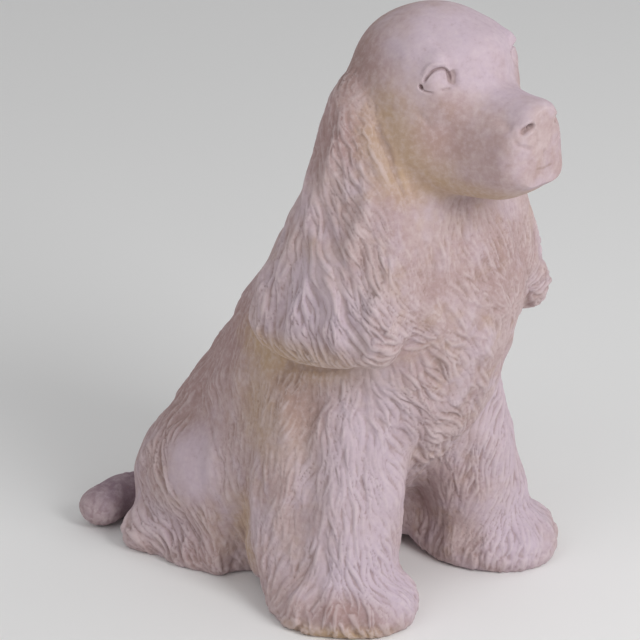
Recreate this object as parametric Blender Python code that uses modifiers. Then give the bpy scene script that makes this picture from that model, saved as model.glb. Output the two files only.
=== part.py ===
"""Garden statue of a seated long-eared spaniel, cast in stone sections that are pinned and bonded together.

The dog faces -Y, its left side is +X and its soles are flat on Z = 0. Sizes are in metres, and the tables
of sculpted forms are in millimetres. The forms are melted into clay-like masters with locks of fur laid over
them. Flat joints then part the masters into castings, and steel dowels in drilled holes pin them together.
"""

from math import cos, pi, radians, sin

import bmesh
import bpy
from mathutils import Matrix, Vector
from mathutils.bvhtree import BVHTree

# Clearances
JOINT_GAP = 0.0003  # bond line between two castings, and the space round a dowel
HOLE_END_SPACE = 0.0010  # free depth beyond the end of a dowel

# Fineness of the sculpted masters
HEAD_VOXEL = 0.0016
BODY_VOXEL = 0.0026
EAR_VOXEL = 0.0020
HEAD_FACETS = 2000
BODY_FACETS = 4400
EAR_FACETS = 760
TAIL_FACETS = 160
SHARP_DEGREES = 50  # edges bent further than this stay crisp

# Parting planes between the castings
NECK_JOINT = 0.300
SHOULDER_JOINT = 0.160
FORELEG_INSIDE = 0.019
FORELEG_BACK = -0.028
HIP_JOINT = 0.118
HAUNCH_INSIDE = 0.058
BLOCK = 0.5  # a cutting block, larger than the statue

# Hollow core of the torso, as sections in millimetres, and the plug that closes it
CORE = (
    (4, -4, 84, 38, 2.2),
    (60, -16, 84, 40, 2.2),
    (120, -80, 58, 40, 2.2),
    (180, -112, 14, 44, 2.2),
    (230, -110, -26, 38, 2.2),
    (262, -100, -56, 22, 2.2),
)
PLUG_CENTRE_Y = 0.040
PLUG_RADII = (0.047, 0.054)
PLUG_THICKNESS = 0.008
DRAIN_RADIUS = 0.005
DRAIN_Y = 0.072

# Steel dowels, in millimetres: centre, direction, radius, length; those named left have a mirrored twin
DOWEL_SIDES = 12
DOWELS = {
    "neck_dowel_front": ((0, -112, 300), (0, 0, 1), 6, 64),
    "neck_dowel_rear": ((0, -66, 300), (0, 0, 1), 6, 64),
    "left_ear_dowel_upper": ((51, -90, 350), (1, 0, 0), 3, 34),
    "left_ear_dowel_middle": ((60, -98, 318), (1, 0, 0), 3, 34),
    "left_ear_dowel_lower": ((72, -94, 250), (1, 0, 0), 3, 34),
    "left_foreleg_dowel": ((52, -86, 160), (-0.15, 0, 1), 5, 56),
    "left_haunch_dowel_front": ((62, 5, 55), (1, 0, 0), 4, 28),
    "left_haunch_dowel_rear": ((62, 88, 42), (1, 0, 0), 4, 28),
    "tail_dowel": ((-44, 120, 20), (0, 1, 0), 3, 26),
}

# Head forms, in millimetres: centre, radii
SKULL = ((0, -114, 385), (55, 60, 55))
FOREHEAD = ((0, -139, 404), (36, 34, 28))
NOSE = ((0, -205, 376), (15, 12, 13))
CHIN = ((0, -202, 344), (14, 13, 9))
CHEEK = ((22, -122, 358), (32, 42, 38))
UNDER_EYE = ((24, -148, 386), (20, 21, 20))
EYEBALL = ((36, -149, 401), (10, 9.5, 9))
BROW = (((18, -157, 410), 6), ((31, -143, 417), 8), ((46, -127, 413), 7))
# Muzzle sections: distance along Y, bottom, top, half width
MUZZLE = (
    (-130, 313, 398, 46),
    (-150, 313, 398, 39),
    (-170, 314, 396, 33),
    (-190, 317, 392, 30),
    (-205, 325, 389, 28),
    (-213, 333, 386, 23),
    (-217, 343, 382, 14),
)
# Neck and torso sections: height, front, back, half width, squareness
NECK = (
    (255, -164, -10, 73, 2.8),
    (300, -151, -37, 60, 2.8),
    (345, -135, -56, 50, 2.4),
    (365, -130, -62, 45, 2.2),
)
TORSO = (
    (-10, -45, 132, 100, 2.3),
    (36, -60, 133, 105, 2.2),
    (79, -98, 115, 100, 2.2),
    (110, -126, 97, 91, 2.1),
    (140, -146, 82, 87, 2.2),
    (175, -159, 54, 85, 2.3),
    (207, -167, 29, 85, 2.5),
    (240, -166, 4, 80, 2.8),
    (272, -159, -20, 69, 2.8),
    (300, -151, -38, 60, 2.8),
    (330, -140, -50, 52, 2.5),
)
PAW = ((76, -101, 9), (52, 58, 29))
FORELEG = (
    ((74, -97, 11), 39),
    ((63, -97, 60), 38),
    ((51, -91, 115), 38),
    ((42, -90, 170), 38),
    ((36, -92, 210), 43),
)
FEATHERING = (((71, -64, 10), 45), ((69, -54, 80), 37), ((57, -50, 160), 36))
THIGH = ((67, 42, 50), (43, 70, 56))
HIND_FOOT = (((84, 86, 13), 32), ((84, 40, 10), 29), ((81, -6, 13), 29))
TAIL = (((0, 112, 23), 20), ((-58, 122, 16), 16), ((-98, 126, 15), 15))
TAIL_TIP = ((-102, 126, 14.5), (18, 17, 15))
# Outer face of an ear: rows from its root down, each from the front edge to the back edge
EAR = (
    ((44, -112, 392), (49, -104, 397), (51, -95, 399), (50, -86, 398), (45, -76, 394)),
    ((54, -116, 368), (60, -108, 372), (65, -97, 375), (64, -84, 375), (59, -71, 373)),
    ((57, -126, 345), (67, -121, 346), (75, -104, 348), (75, -86, 350), (67, -70, 351)),
    ((57, -141, 308), (71, -137, 308), (84, -110, 310), (86, -83, 312), (79, -64, 314)),
    ((58, -151, 275), (73, -148, 274), (90, -114, 272), (93, -77, 272), (87, -48, 273)),
    ((64, -157, 245), (82, -151, 240), (97, -114, 236), (101, -71, 238), (98, -31, 240)),
    ((72, -155, 224), (86, -149, 212), (99, -114, 207), (102, -69, 206), (99, -22, 212)),
    ((80, -144, 210), (91, -137, 199), (99, -109, 192), (102, -73, 187), (100, -35, 189)),
)
EAR_EDGE_THICKNESS = 15
EAR_CORE_THICKNESS = 38

# Rows of fur locks on the left side, in millimetres: first and last root, count, fall of the first and last
CHEST_ROWS = (
    ((6, -156, 296), (44, -140, 290), 3, (4, -12, -50), (10, -6, -42)),
    ((14, -166, 256), (56, -148, 252), 3, (8, -4, -48), (10, 6, -44)),
    ((4, -170, 226), (48, -158, 212), 3, (2, 2, -50), (6, 8, -48)),
    ((12, -168, 186), (34, -164, 180), 2, (2, 12, -46), (4, 14, -46)),
    ((4, -160, 150), (20, -156, 148), 2, (0, 20, -46), (0, 20, -46)),
    ((8, -142, 118), (8, -142, 118), 1, (-2, 24, -36), (-2, 24, -36)),
)
FORELEG_ROWS = (
    ((60, -130, 160), (84, -66, 168), 4, (10, -2, -52), (14, 4, -52)),
    ((46, -130, 124), (92, -46, 110), 6, (4, -6, -52), (12, 4, -56)),
    ((108, -80, 64), (94, -32, 60), 3, (14, -4, -42), (4, 2, -50)),
)
HAUNCH_ROWS = (
    ((82, -46, 200), (60, 46, 142), 4, (6, 16, -50), (14, 12, -38)),
    ((84, -24, 146), (98, 4, 112), 2, (8, 10, -54), (6, 4, -54)),
    ((92, -12, 92), (104, 2, 62), 2, (6, 6, -48), (2, 8, -46)),
    ((92, 74, 96), (98, 92, 66), 2, (8, 8, -44), (2, 4, -48)),
    ((108, 28, 30), (104, 84, 28), 4, (2, 2, -28), (2, 8, -26)),
)
BACK_ROWS = (
    ((10, -24, 290), (40, -32, 286), 2, (4, 26, -46), (10, 22, -46)),
    ((16, 14, 232), (50, 2, 224), 2, (4, 28, -46), (10, 26, -46)),
    ((8, 58, 176), (38, 52, 172), 2, (4, 28, -44), (10, 26, -42)),
    ((20, 98, 118), (56, 86, 112), 2, (6, 22, -48), (10, 20, -46)),
    ((10, 122, 76), (42, 122, 70), 2, (2, 10, -50), (6, 8, -48)),
)
EAR_ROWS = (
    ((62, -84, 386), (66, -72, 370), 2, (24, -12, -76), (28, 6, -74)),
    ((68, -112, 340), (84, -66, 316), 3, (22, -12, -78), (20, 4, -84)),
    ((80, -140, 290), (94, -50, 266), 4, (14, -6, -64), (8, 2, -66)),
    ((88, -150, 244), (98, -44, 226), 4, (4, 4, -32), (1, 2, -34)),
)
LOCK_RADIUS = 6
LOCK_SWAY = 5
EAR_LOCK_SWAY = 8
PAW_LOCK_ANGLES = range(-170, 40, 34)  # round the paw, from the inner side past the front to the outer side

# Lines carved in the face, in millimetres, and their radius
LID_LINE = (
    (28, -160, 394),
    (28, -161, 401),
    (32, -158, 408),
    (39, -152, 409),
    (45, -144, 403),
    (48, -140, 395),
)
MOUTH_LINE = ((-21, -209, 340), (-11, -216, 345), (0, -219, 347), (11, -216, 345), (21, -209, 340))
PHILTRUM_LINE = ((0, -220, 366), (0, -220, 356), (0, -219, 343))
LINE_RADIUS = 1.2
NOSTRIL = ((12.5, -214, 376), (4.6, 5, 3.2))
EYE_CORNER = ((48.5, -140, 394), (1.9, 3, 1.9))

# Materials: colour, metallic, roughness
STONE_HEAD = (0.66, 0.58, 0.60, 1)
STONE_BODY = (0.62, 0.53, 0.52, 1)
STONE_EAR = (0.60, 0.51, 0.51, 1)
STONE_LEG = (0.64, 0.55, 0.55, 1)
STONE_PLUG = (0.50, 0.47, 0.45, 1)
STEEL = (0.55, 0.55, 0.57, 1)


def mm(*values):
    return Vector([v / 1000 for v in values])


def collection(name):
    made = bpy.data.collections.new(name)
    bpy.context.scene.collection.children.link(made)
    return made


for leftover in list(bpy.data.objects):
    bpy.data.objects.remove(leftover)
STATUE = collection("seated_dog_statue")
HELPERS = collection("cutters_and_forms")


def helper(name, mesh):
    """A form or cutter, kept apart from the castings."""
    obj = bpy.data.objects.new(name, mesh)
    HELPERS.objects.link(obj)
    obj.hide_render = True
    obj.display_type = "WIRE"
    return obj


def from_bmesh(name, form):
    mesh = bpy.data.meshes.new(name)
    bmesh.ops.recalc_face_normals(form, faces=form.faces)
    form.to_mesh(mesh)
    form.free()
    return helper(name, mesh)


def settle(obj):
    """Turns the object's modifiers into its mesh."""
    bpy.context.view_layer.update()
    graph = bpy.context.evaluated_depsgraph_get()
    mesh = bpy.data.meshes.new_from_object(obj.evaluated_get(graph))
    obj.modifiers.clear()
    obj.data = mesh
    return obj


def ellipsoid(centre, radii, sides=28):
    form = bmesh.new()
    bmesh.ops.create_uvsphere(form, u_segments=sides, v_segments=sides // 2, radius=1)
    place = Matrix.Translation(mm(*centre)) @ Matrix.Diagonal((*mm(*radii), 1))
    bmesh.ops.transform(form, verts=form.verts, matrix=place)
    return from_bmesh("form", form)


def limb(stations, sides=5, steps=6):
    """A tapering round form along stations of (point, radius)."""
    curve = bpy.data.curves.new("limb", "CURVE")
    curve.dimensions = "3D"
    curve.bevel_depth = 1
    curve.bevel_resolution = sides
    curve.use_fill_caps = True
    curve.resolution_u = steps
    spline = curve.splines.new("BEZIER")
    spline.bezier_points.add(len(stations) - 1)
    for point, (place, radius) in zip(spline.bezier_points, stations):
        point.co = mm(*place)
        point.radius = radius / 1000
        point.handle_left_type = point.handle_right_type = "AUTO"
    drawn = helper("limb_curve", curve)
    bpy.context.view_layer.update()
    mesh = bpy.data.meshes.new_from_object(drawn.evaluated_get(bpy.context.evaluated_depsgraph_get()))
    bpy.data.objects.remove(drawn)
    form = bmesh.new()
    form.from_mesh(mesh)
    bmesh.ops.remove_doubles(form, verts=form.verts, dist=0.00001)
    return from_bmesh("limb", form)


def sections(rows, along="Z", taper=0.0, segments=40):
    """A body lofted through sections of (level, low, high, half width, squareness), slimmer where high."""
    form = bmesh.new()
    rings = []
    for level, low, high, half, *power in rows:
        ring = []
        for i in range(segments):
            c, s = cos(2 * pi * i / segments), sin(2 * pi * i / segments)
            share = 2 / (power[0] if power else 2.5)
            s = (1 if s >= 0 else -1) * abs(s) ** share
            c = (1 if c >= 0 else -1) * abs(c) ** share * (1 - taper * s)
            across, over = half * c, (low + high) / 2 + (high - low) / 2 * s
            ring.append(form.verts.new(mm(across, level, over) if along == "Y" else mm(across, over, level)))
        rings.append(ring)
    for near, far in zip(rings, rings[1:]):
        for i in range(segments):
            j = (i + 1) % segments
            form.faces.new((near[i], near[j], far[j], far[i]))
    form.faces.new(reversed(rings[0]))
    form.faces.new(rings[-1])
    return from_bmesh("sections", form)


def cylinder(name, start, end, radius):
    """A round bar between two points, in metres."""
    form = bmesh.new()
    along = end - start
    bmesh.ops.create_cone(form, cap_ends=True, segments=DOWEL_SIDES, radius1=1, radius2=1, depth=1)
    turn = along.to_track_quat("Z", "Y").to_matrix().to_4x4()
    size = Matrix.Diagonal((radius, radius, along.length, 1))
    bmesh.ops.transform(form, verts=form.verts, matrix=Matrix.Translation((start + end) / 2) @ turn @ size)
    return from_bmesh(name, form)


def block(name, low, high):
    """A cutting block between two corners, in metres."""
    form = bmesh.new()
    bmesh.ops.create_cube(form, size=1)
    size, centre = Vector(high) - Vector(low), (Vector(high) + Vector(low)) / 2
    place = Matrix.Translation(centre) @ Matrix.Diagonal((*size, 1))
    bmesh.ops.transform(form, verts=form.verts, matrix=place)
    return from_bmesh(name, form)


def mirrored(obj, name=None):
    form = bmesh.new()
    form.from_mesh(obj.data)
    bmesh.ops.scale(form, vec=(-1, 1, 1), verts=form.verts)
    return from_bmesh(name or obj.name, form)


def both_sides(form):
    """The form on the left side and, mirrored, on the right."""
    return [form, mirrored(form)]


def surface(obj):
    return BVHTree.FromPolygons([v.co for v in obj.data.vertices], [p.vertices for p in obj.data.polygons])


def lock(tree, start, end, sway):
    """One lock of fur laid on a skin: slim at its root, full in the middle and pointed at its end."""
    stations = []
    for share, width, depth in ((0, 0.55, -0.6), (0.3, 0.9, -0.25), (0.65, 1, -0.1), (1, 0.35, -0.1)):
        place, normal, *_ = tree.find_nearest(start.lerp(end, share) / 1000)
        side = normal.cross(end - start).normalized()
        place = place * 1000 + side * sway * sin(pi * 1.6 * share) + normal * LOCK_RADIUS * depth
        stations.append((place, LOCK_RADIUS * width))
    return limb(stations, sides=3)


def locks(skin, rows, sway):
    """Rows of locks on the left of a skin, swaying one way and the other in turn."""
    tree = surface(skin)
    laid = []
    for first, last, count, first_fall, last_fall in rows:
        for i in range(count):
            share = i / max(1, count - 1)
            root = Vector(first).lerp(Vector(last), share)
            fall = Vector(first_fall).lerp(Vector(last_fall), share)
            laid.append(lock(tree, root, root + fall, sway if i % 2 else -sway))
    return laid


def paw_locks(skin):
    """A fan of locks over the left paw, from its top to its rim."""
    tree = surface(skin)
    (x, y, z), (across, along, high) = PAW
    laid = []
    for degrees in PAW_LOCK_ANGLES:
        heading = Vector((across * cos(radians(degrees)), along * sin(radians(degrees)), 0))
        top, rim = Vector((x, y, z + high * 0.8)) + heading * 0.45, Vector((x, y, LOCK_RADIUS)) + heading
        laid.append(lock(tree, top, rim, LOCK_SWAY / 2))
    return laid


def fuse(name, forms, voxel, softness):
    """Melts forms into one clay-like skin."""
    merged = bmesh.new()
    for form in forms:
        merged.from_mesh(form.data)
        bpy.data.objects.remove(form)
    mesh = bpy.data.meshes.new(name)
    merged.to_mesh(mesh)
    merged.free()
    skin = helper(name, mesh)
    remesh = skin.modifiers.new("melt", "REMESH")
    remesh.mode = "VOXEL"
    remesh.voxel_size = voxel
    smooth = skin.modifiers.new("soften", "SMOOTH")
    smooth.factor = 0.5
    smooth.iterations = softness
    return settle(skin)


def thin(skin, facets):
    """Brings a skin down to about this many triangles."""
    whole = sum(len(face.vertices) - 2 for face in skin.data.polygons)
    decimate = skin.modifiers.new("thin", "DECIMATE")
    decimate.ratio = min(1, facets / whole)
    decimate.use_collapse_triangulate = True
    return settle(skin)


def symmetric(skin):
    """Makes the right side the exact mirror of the left."""
    mirror = skin.modifiers.new("mirror", "MIRROR")
    mirror.use_axis = (True, False, False)
    mirror.use_bisect_axis = (True, False, False)
    mirror.merge_threshold = 0.0001
    return settle(skin)


def copy_of(obj, name):
    return helper(name, obj.data.copy())


def grown(obj, name, gap):
    """A copy swollen by a clearance, to cut a matching seat."""
    copy = copy_of(obj, name)
    swell = copy.modifiers.new("swell", "DISPLACE")
    swell.strength = gap
    swell.mid_level = 0
    return settle(copy)


def carve(obj, cutters, operation="DIFFERENCE"):
    for cutter in cutters:
        cut = obj.modifiers.new("cut", "BOOLEAN")
        cut.operation = operation
        cut.solver = "EXACT"
        cut.object = cutter
        settle(obj)
    return obj


def bar(centre, direction, radius, length, gap=0.0, spare=0.0):
    """A dowel, or with a gap and spare depth the hole it sits in."""
    half = Vector(direction).normalized() * (length / 2000 + spare)
    return cylinder("bar", mm(*centre) - half, mm(*centre) + half, radius / 1000 + gap)


def all_dowels():
    """Every dowel by name, the mirrored ones too."""
    every = {}
    for name, (centre, direction, radius, length) in DOWELS.items():
        every[name] = (centre, direction, radius, length)
        if name.startswith("left"):
            (x, y, z), (i, j, k) = centre, direction
            every[name.replace("left", "right")] = ((-x, y, z), (-i, j, k), radius, length)
    return every


def holes(*names):
    """Hole cutters for the dowels whose names start with one of these."""
    wanted = [dowel for name, dowel in all_dowels().items() if name.startswith(names)]
    return [bar(*dowel, gap=JOINT_GAP, spare=HOLE_END_SPACE) for dowel in wanted]


def head_master():
    forms = [
        ellipsoid(*SKULL),
        ellipsoid(*FOREHEAD),
        sections(MUZZLE, along="Y", taper=0.16),
        sections(NECK),
        ellipsoid(*NOSE),
        ellipsoid(*CHIN),
        *both_sides(ellipsoid(*CHEEK)),
        *both_sides(ellipsoid(*UNDER_EYE)),
        *both_sides(limb(BROW)),
    ]
    skin = fuse("head_form", forms, HEAD_VOXEL, 24)
    return fuse("head_master", [*both_sides(ellipsoid(*EYEBALL)), skin], HEAD_VOXEL, 3)


def body_master():
    forms = [sections(TORSO)]
    for form in (ellipsoid(*PAW), limb(FORELEG), limb(FEATHERING), ellipsoid(*THIGH), limb(HIND_FOOT)):
        forms += both_sides(form)
    skin = fuse("body_form", forms, BODY_VOXEL, 5)
    fur = locks(skin, CHEST_ROWS + FORELEG_ROWS + HAUNCH_ROWS + BACK_ROWS, LOCK_SWAY) + paw_locks(skin)
    return fuse("body_master", [form for left in fur for form in both_sides(left)] + [skin], BODY_VOXEL, 2)


def ear_form():
    """The left ear as a flap, thick in the middle so that it beds against the neck and the chest."""
    form = bmesh.new()
    outer = [[Vector(point) for point in row] for row in EAR]
    inner = []
    for i, row in enumerate(outer):
        core = EAR_EDGE_THICKNESS if i in (0, len(outer) - 1) else EAR_CORE_THICKNESS
        depths = (EAR_EDGE_THICKNESS, core, core, core, EAR_EDGE_THICKNESS)
        inner.append([point - Vector((depth, 0, 0)) for point, depth in zip(row, depths)])
    faces = []
    for grid in (outer, inner):
        faces.append([[form.verts.new(mm(*point)) for point in row] for row in grid])
    top, base = faces
    rows, columns = len(EAR), len(EAR[0])
    for grid in faces:
        for i in range(rows - 1):
            for j in range(columns - 1):
                form.faces.new((grid[i][j], grid[i][j + 1], grid[i + 1][j + 1], grid[i + 1][j]))
    rim = [(0, j) for j in range(columns)] + [(i, columns - 1) for i in range(1, rows)]
    rim += [(rows - 1, j) for j in range(columns - 2, -1, -1)] + [(i, 0) for i in range(rows - 2, 0, -1)]
    for (i, j), (k, l) in zip(rim, rim[1:] + rim[:1]):
        form.faces.new((top[i][j], top[k][l], base[k][l], base[i][j]))
    flap = from_bmesh("ear_form", form)
    rounding = flap.modifiers.new("round", "SUBSURF")
    rounding.levels = rounding.render_levels = 3
    settle(flap)
    return fuse("ear_master", [*locks(flap, EAR_ROWS, EAR_LOCK_SWAY), flap], EAR_VOXEL, 2)


def face_cutters(head):
    """Nostrils, eye corners and the lines carved round the eyes, nose and mouth."""
    tree = surface(head)

    def line(points):
        stations = [(tree.find_nearest(mm(*point))[0] * 1000, LINE_RADIUS) for point in points]
        return limb(stations, sides=1, steps=3)

    pairs = (line(LID_LINE), ellipsoid(*NOSTRIL, sides=10), ellipsoid(*EYE_CORNER, sides=8))
    return [cutter for pair in pairs for cutter in both_sides(pair)] + [line(PHILTRUM_LINE), line(MOUTH_LINE)]


def plate(name, gap):
    """The base plug, or with a gap the rebate it sits in."""
    form = bmesh.new()
    bmesh.ops.create_cone(form, cap_ends=True, segments=48, radius1=1, radius2=1, depth=1)
    size = (PLUG_RADII[0] + gap, PLUG_RADII[1] + gap, PLUG_THICKNESS + gap)
    low = -0.01 if gap else 0
    size = (*size[:2], size[2] - low)
    place = Matrix.Translation((0, PLUG_CENTRE_Y, low + size[2] / 2)) @ Matrix.Diagonal((*size, 1))
    bmesh.ops.transform(form, verts=form.verts, matrix=place)
    return from_bmesh(name, form)


def material(name, colour, metallic=0.0, roughness=0.85):
    made = bpy.data.materials.new(name)
    made.use_nodes = True
    shader = made.node_tree.nodes["Principled BSDF"]
    shader.inputs["Base Color"].default_value = colour
    shader.inputs["Metallic"].default_value = metallic
    shader.inputs["Roughness"].default_value = roughness
    return made


def finish(obj, name, colour, metallic=0.0, roughness=0.85):
    """Names a piece, cleans its mesh and gives it its own material."""
    form = bmesh.new()
    form.from_mesh(obj.data)
    bmesh.ops.dissolve_degenerate(form, edges=form.edges, dist=0.000001)
    bmesh.ops.triangulate(form, faces=form.faces)
    mesh = bpy.data.meshes.new(name)
    form.to_mesh(mesh)
    form.free()
    mesh.shade_smooth()
    mesh.set_sharp_from_angle(angle=radians(SHARP_DEGREES))
    mesh.materials.append(material(name + "_material", colour, metallic, roughness))
    piece = bpy.data.objects.new(name, mesh)
    STATUE.objects.link(piece)
    return piece


def joint_block(name, low, high, gap):
    """The block that parts a limb casting from the torso, shrunk by half a joint, or swollen for its seat."""
    return block(name, [v + gap for v in low], [v - gap for v in high])


def build():
    half_gap = JOINT_GAP / 2
    ground = block("ground_cutter", (-BLOCK, -BLOCK, -BLOCK), (BLOCK, BLOCK, 0))
    below_neck = block("below_neck_cutter", (-BLOCK, -BLOCK, -BLOCK), (BLOCK, BLOCK, NECK_JOINT + half_gap))
    above_neck = block("above_neck_cutter", (-BLOCK, -BLOCK, NECK_JOINT - half_gap), (BLOCK, BLOCK, BLOCK))
    foreleg_box = (FORELEG_INSIDE, -BLOCK, -BLOCK), (BLOCK, FORELEG_BACK, SHOULDER_JOINT)
    haunch_box = (HAUNCH_INSIDE, FORELEG_BACK, -BLOCK), (BLOCK, BLOCK, HIP_JOINT)

    head_skin = symmetric(thin(head_master(), HEAD_FACETS))
    body_skin = symmetric(thin(body_master(), BODY_FACETS))
    ear_skin = thin(ear_form(), EAR_FACETS)
    tail_skin = thin(fuse("tail_form", [limb(TAIL), ellipsoid(*TAIL_TIP)], BODY_VOXEL, 4), TAIL_FACETS)
    head_seat = grown(head_skin, "head_seat", JOINT_GAP)
    body_seat = grown(body_skin, "body_seat", JOINT_GAP)

    head = copy_of(head_skin, "head_cut")
    ear_pins = [f"{side}_ear_dowel_{place}" for side in ("left", "right") for place in ("upper", "middle")]
    carve(head, [below_neck, *face_cutters(head_skin), *holes("neck", *ear_pins)])

    torso = copy_of(body_skin, "torso_cut")
    seats = [joint_block("seat", *foreleg_box, -half_gap), joint_block("seat", *haunch_box, -half_gap)]
    limb_pins = [f"{side}_{limb_name}" for side in ("left", "right")
                 for limb_name in ("foreleg", "haunch", "ear_dowel_lower")]
    carve(torso, [ground, above_neck, *seats, *[mirrored(seat) for seat in seats]])
    carve(torso, [sections(CORE), plate("plug_seat", JOINT_GAP), *holes("neck", "tail", *limb_pins)])

    foreleg = copy_of(body_skin, "foreleg_cut")
    carve(foreleg, [joint_block("foreleg_block", *foreleg_box, half_gap)], "INTERSECT")
    carve(foreleg, [ground, *holes("left_foreleg")])
    haunch = copy_of(body_skin, "haunch_cut")
    carve(haunch, [joint_block("haunch_block", *haunch_box, half_gap)], "INTERSECT")
    carve(haunch, [ground, *holes("left_haunch")])
    ear = carve(copy_of(ear_skin, "ear_cut"), [head_seat, body_seat, *holes("left_ear")])
    tail = carve(copy_of(tail_skin, "tail_cut"), [body_seat, ground, *holes("tail")])
    drain_ends = [Vector((0, DRAIN_Y, z)) for z in (-PLUG_THICKNESS, 2 * PLUG_THICKNESS)]
    plug = carve(plate("plug_cut", 0), [cylinder("drain_cutter", *drain_ends, DRAIN_RADIUS)])

    finish(torso, "torso_casting", STONE_BODY)
    finish(head, "head_casting", STONE_HEAD)
    pairs = ((ear, "ear", STONE_EAR), (foreleg, "foreleg", STONE_LEG), (haunch, "haunch", STONE_BODY))
    for form, name, colour in pairs:
        finish(form, f"left_{name}_casting", colour)
        finish(mirrored(form), f"right_{name}_casting", colour)
    finish(tail, "tail_casting", STONE_BODY)
    finish(plug, "base_plug", STONE_PLUG, roughness=0.9)
    for name, dowel in all_dowels().items():
        finish(bar(*dowel), name, STEEL, metallic=1.0, roughness=0.4)


build()
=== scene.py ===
"""Looks of a garden dog statue: a clay skin over the castings, its face and fur, cast stone and a studio."""

import math

import bmesh
import bpy
import numpy as np
from bpy.props import FloatProperty, FloatVectorProperty, IntProperty, PointerProperty
from bpy.types import Operator, Panel, PropertyGroup
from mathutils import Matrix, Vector
from mathutils.bvhtree import BVHTree
from mathutils.kdtree import KDTree


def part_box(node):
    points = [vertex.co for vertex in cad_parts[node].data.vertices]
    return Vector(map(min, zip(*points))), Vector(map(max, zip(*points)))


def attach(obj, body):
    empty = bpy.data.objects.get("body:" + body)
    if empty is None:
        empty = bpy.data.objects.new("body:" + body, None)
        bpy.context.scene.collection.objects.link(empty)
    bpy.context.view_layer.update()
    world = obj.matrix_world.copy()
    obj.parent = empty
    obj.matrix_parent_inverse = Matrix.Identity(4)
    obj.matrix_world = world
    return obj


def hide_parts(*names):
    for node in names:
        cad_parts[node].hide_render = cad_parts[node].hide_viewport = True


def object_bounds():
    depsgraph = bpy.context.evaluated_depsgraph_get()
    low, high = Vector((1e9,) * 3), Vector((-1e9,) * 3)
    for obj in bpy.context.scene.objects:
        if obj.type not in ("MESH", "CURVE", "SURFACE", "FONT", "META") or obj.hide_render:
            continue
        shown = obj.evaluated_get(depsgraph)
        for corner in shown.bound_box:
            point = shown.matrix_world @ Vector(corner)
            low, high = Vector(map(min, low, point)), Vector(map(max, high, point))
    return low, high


bl_info = {
    "name": "Garden dog statue",
    "version": (1, 0, 0),
    "blender": (4, 5, 0),
    "location": "View3D > Sidebar > Statue",
    "description": "Carves a seated spaniel in cast stone over its castings",
    "category": "Object",
}

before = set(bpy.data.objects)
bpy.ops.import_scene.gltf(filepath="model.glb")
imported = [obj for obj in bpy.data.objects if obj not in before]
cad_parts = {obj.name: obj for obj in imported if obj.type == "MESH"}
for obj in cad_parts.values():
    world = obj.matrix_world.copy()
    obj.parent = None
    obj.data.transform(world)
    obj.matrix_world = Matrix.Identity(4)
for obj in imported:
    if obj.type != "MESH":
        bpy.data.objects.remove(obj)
CAD_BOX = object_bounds()

MM = 0.001
CASTINGS = (
    "torso_casting",
    "head_casting",
    "left_ear_casting",
    "right_ear_casting",
    "left_foreleg_casting",
    "right_foreleg_casting",
    "left_haunch_casting",
    "right_haunch_casting",
    "tail_casting",
)

EARS = ("left_ear_casting", "right_ear_casting")

PIECES = ("chest", "back", "head", "tail", *(f"{side}_{part}" for side in ("left", "right")
                                             for part in ("ear", "foreleg", "haunch")))

# Combing lines of the fur in millimetres, on the dog's right side: depth, length and width of the strands
# there, and the points that the line runs through
EAR_LINES = (
    (0.9, 24, 4.2, (-63, -73, 367), (-73, -77, 349), (-83, -88, 335), (-84, -96, 311), (-84, -111, 300)),
    (0.8, 18, 3.8, (-61, -96, 378), (-62, -104, 372), (-59, -113, 366)),
    (0.9, 22, 4.2, (-74, -98, 362), (-73, -107, 345), (-75, -117, 328), (-75, -129, 312)),
    (0.9, 22, 4.4, (-77, -113, 327), (-75, -127, 320), (-66, -135, 313)),
    (1.0, 24, 4.4, (-83, -113, 304), (-78, -128, 297), (-72, -141, 291)),
    (1.0, 26, 4.6, (-86, -121, 298), (-82, -128, 286), (-85, -127, 271), (-85, -135, 259)),
    (1.0, 24, 4.4, (-78, -137, 282), (-77, -150, 267), (-71, -155, 252)),
    (1.0, 26, 4.6, (-96, -96, 268), (-96, -108, 259), (-96, -115, 248), (-98, -118, 235)),
    (0.9, 26, 4.6, (-88, -78, 305), (-92, -76, 288), (-93, -71, 260)),
    (0.9, 26, 4.6, (-90, -54, 257), (-94, -49, 239), (-96, -38, 218)),
    (1.4, 24, 5.0, (-97, -45, 225), (-99, -42, 210), (-99, -52, 198), (-97, -66, 190)),
    (1.4, 24, 5.0, (-103, -77, 232), (-100, -70, 217), (-103, -79, 207), (-100, -89, 200)),
    (1.4, 22, 5.0, (-99, -108, 235), (-102, -109, 221), (-100, -117, 211)),
    (1.4, 20, 5.0, (-90, -132, 239), (-87, -145, 230), (-83, -156, 232)),
    (0.9, 26, 4.6, (-56, -66, 372), (-62, -60, 340), (-70, -56, 300), (-80, -48, 262), (-90, -36, 220)),
    (0.06, 24, 4.6, (-57, -112, 372), (-58, -118, 352), (-60, -128, 332), (-66, -140, 306),
     (-70, -149, 284)),
    (0.06, 24, 4.6, (-50, -133, 347), (-46, -136, 335), (-42, -140, 318)),
)
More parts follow.
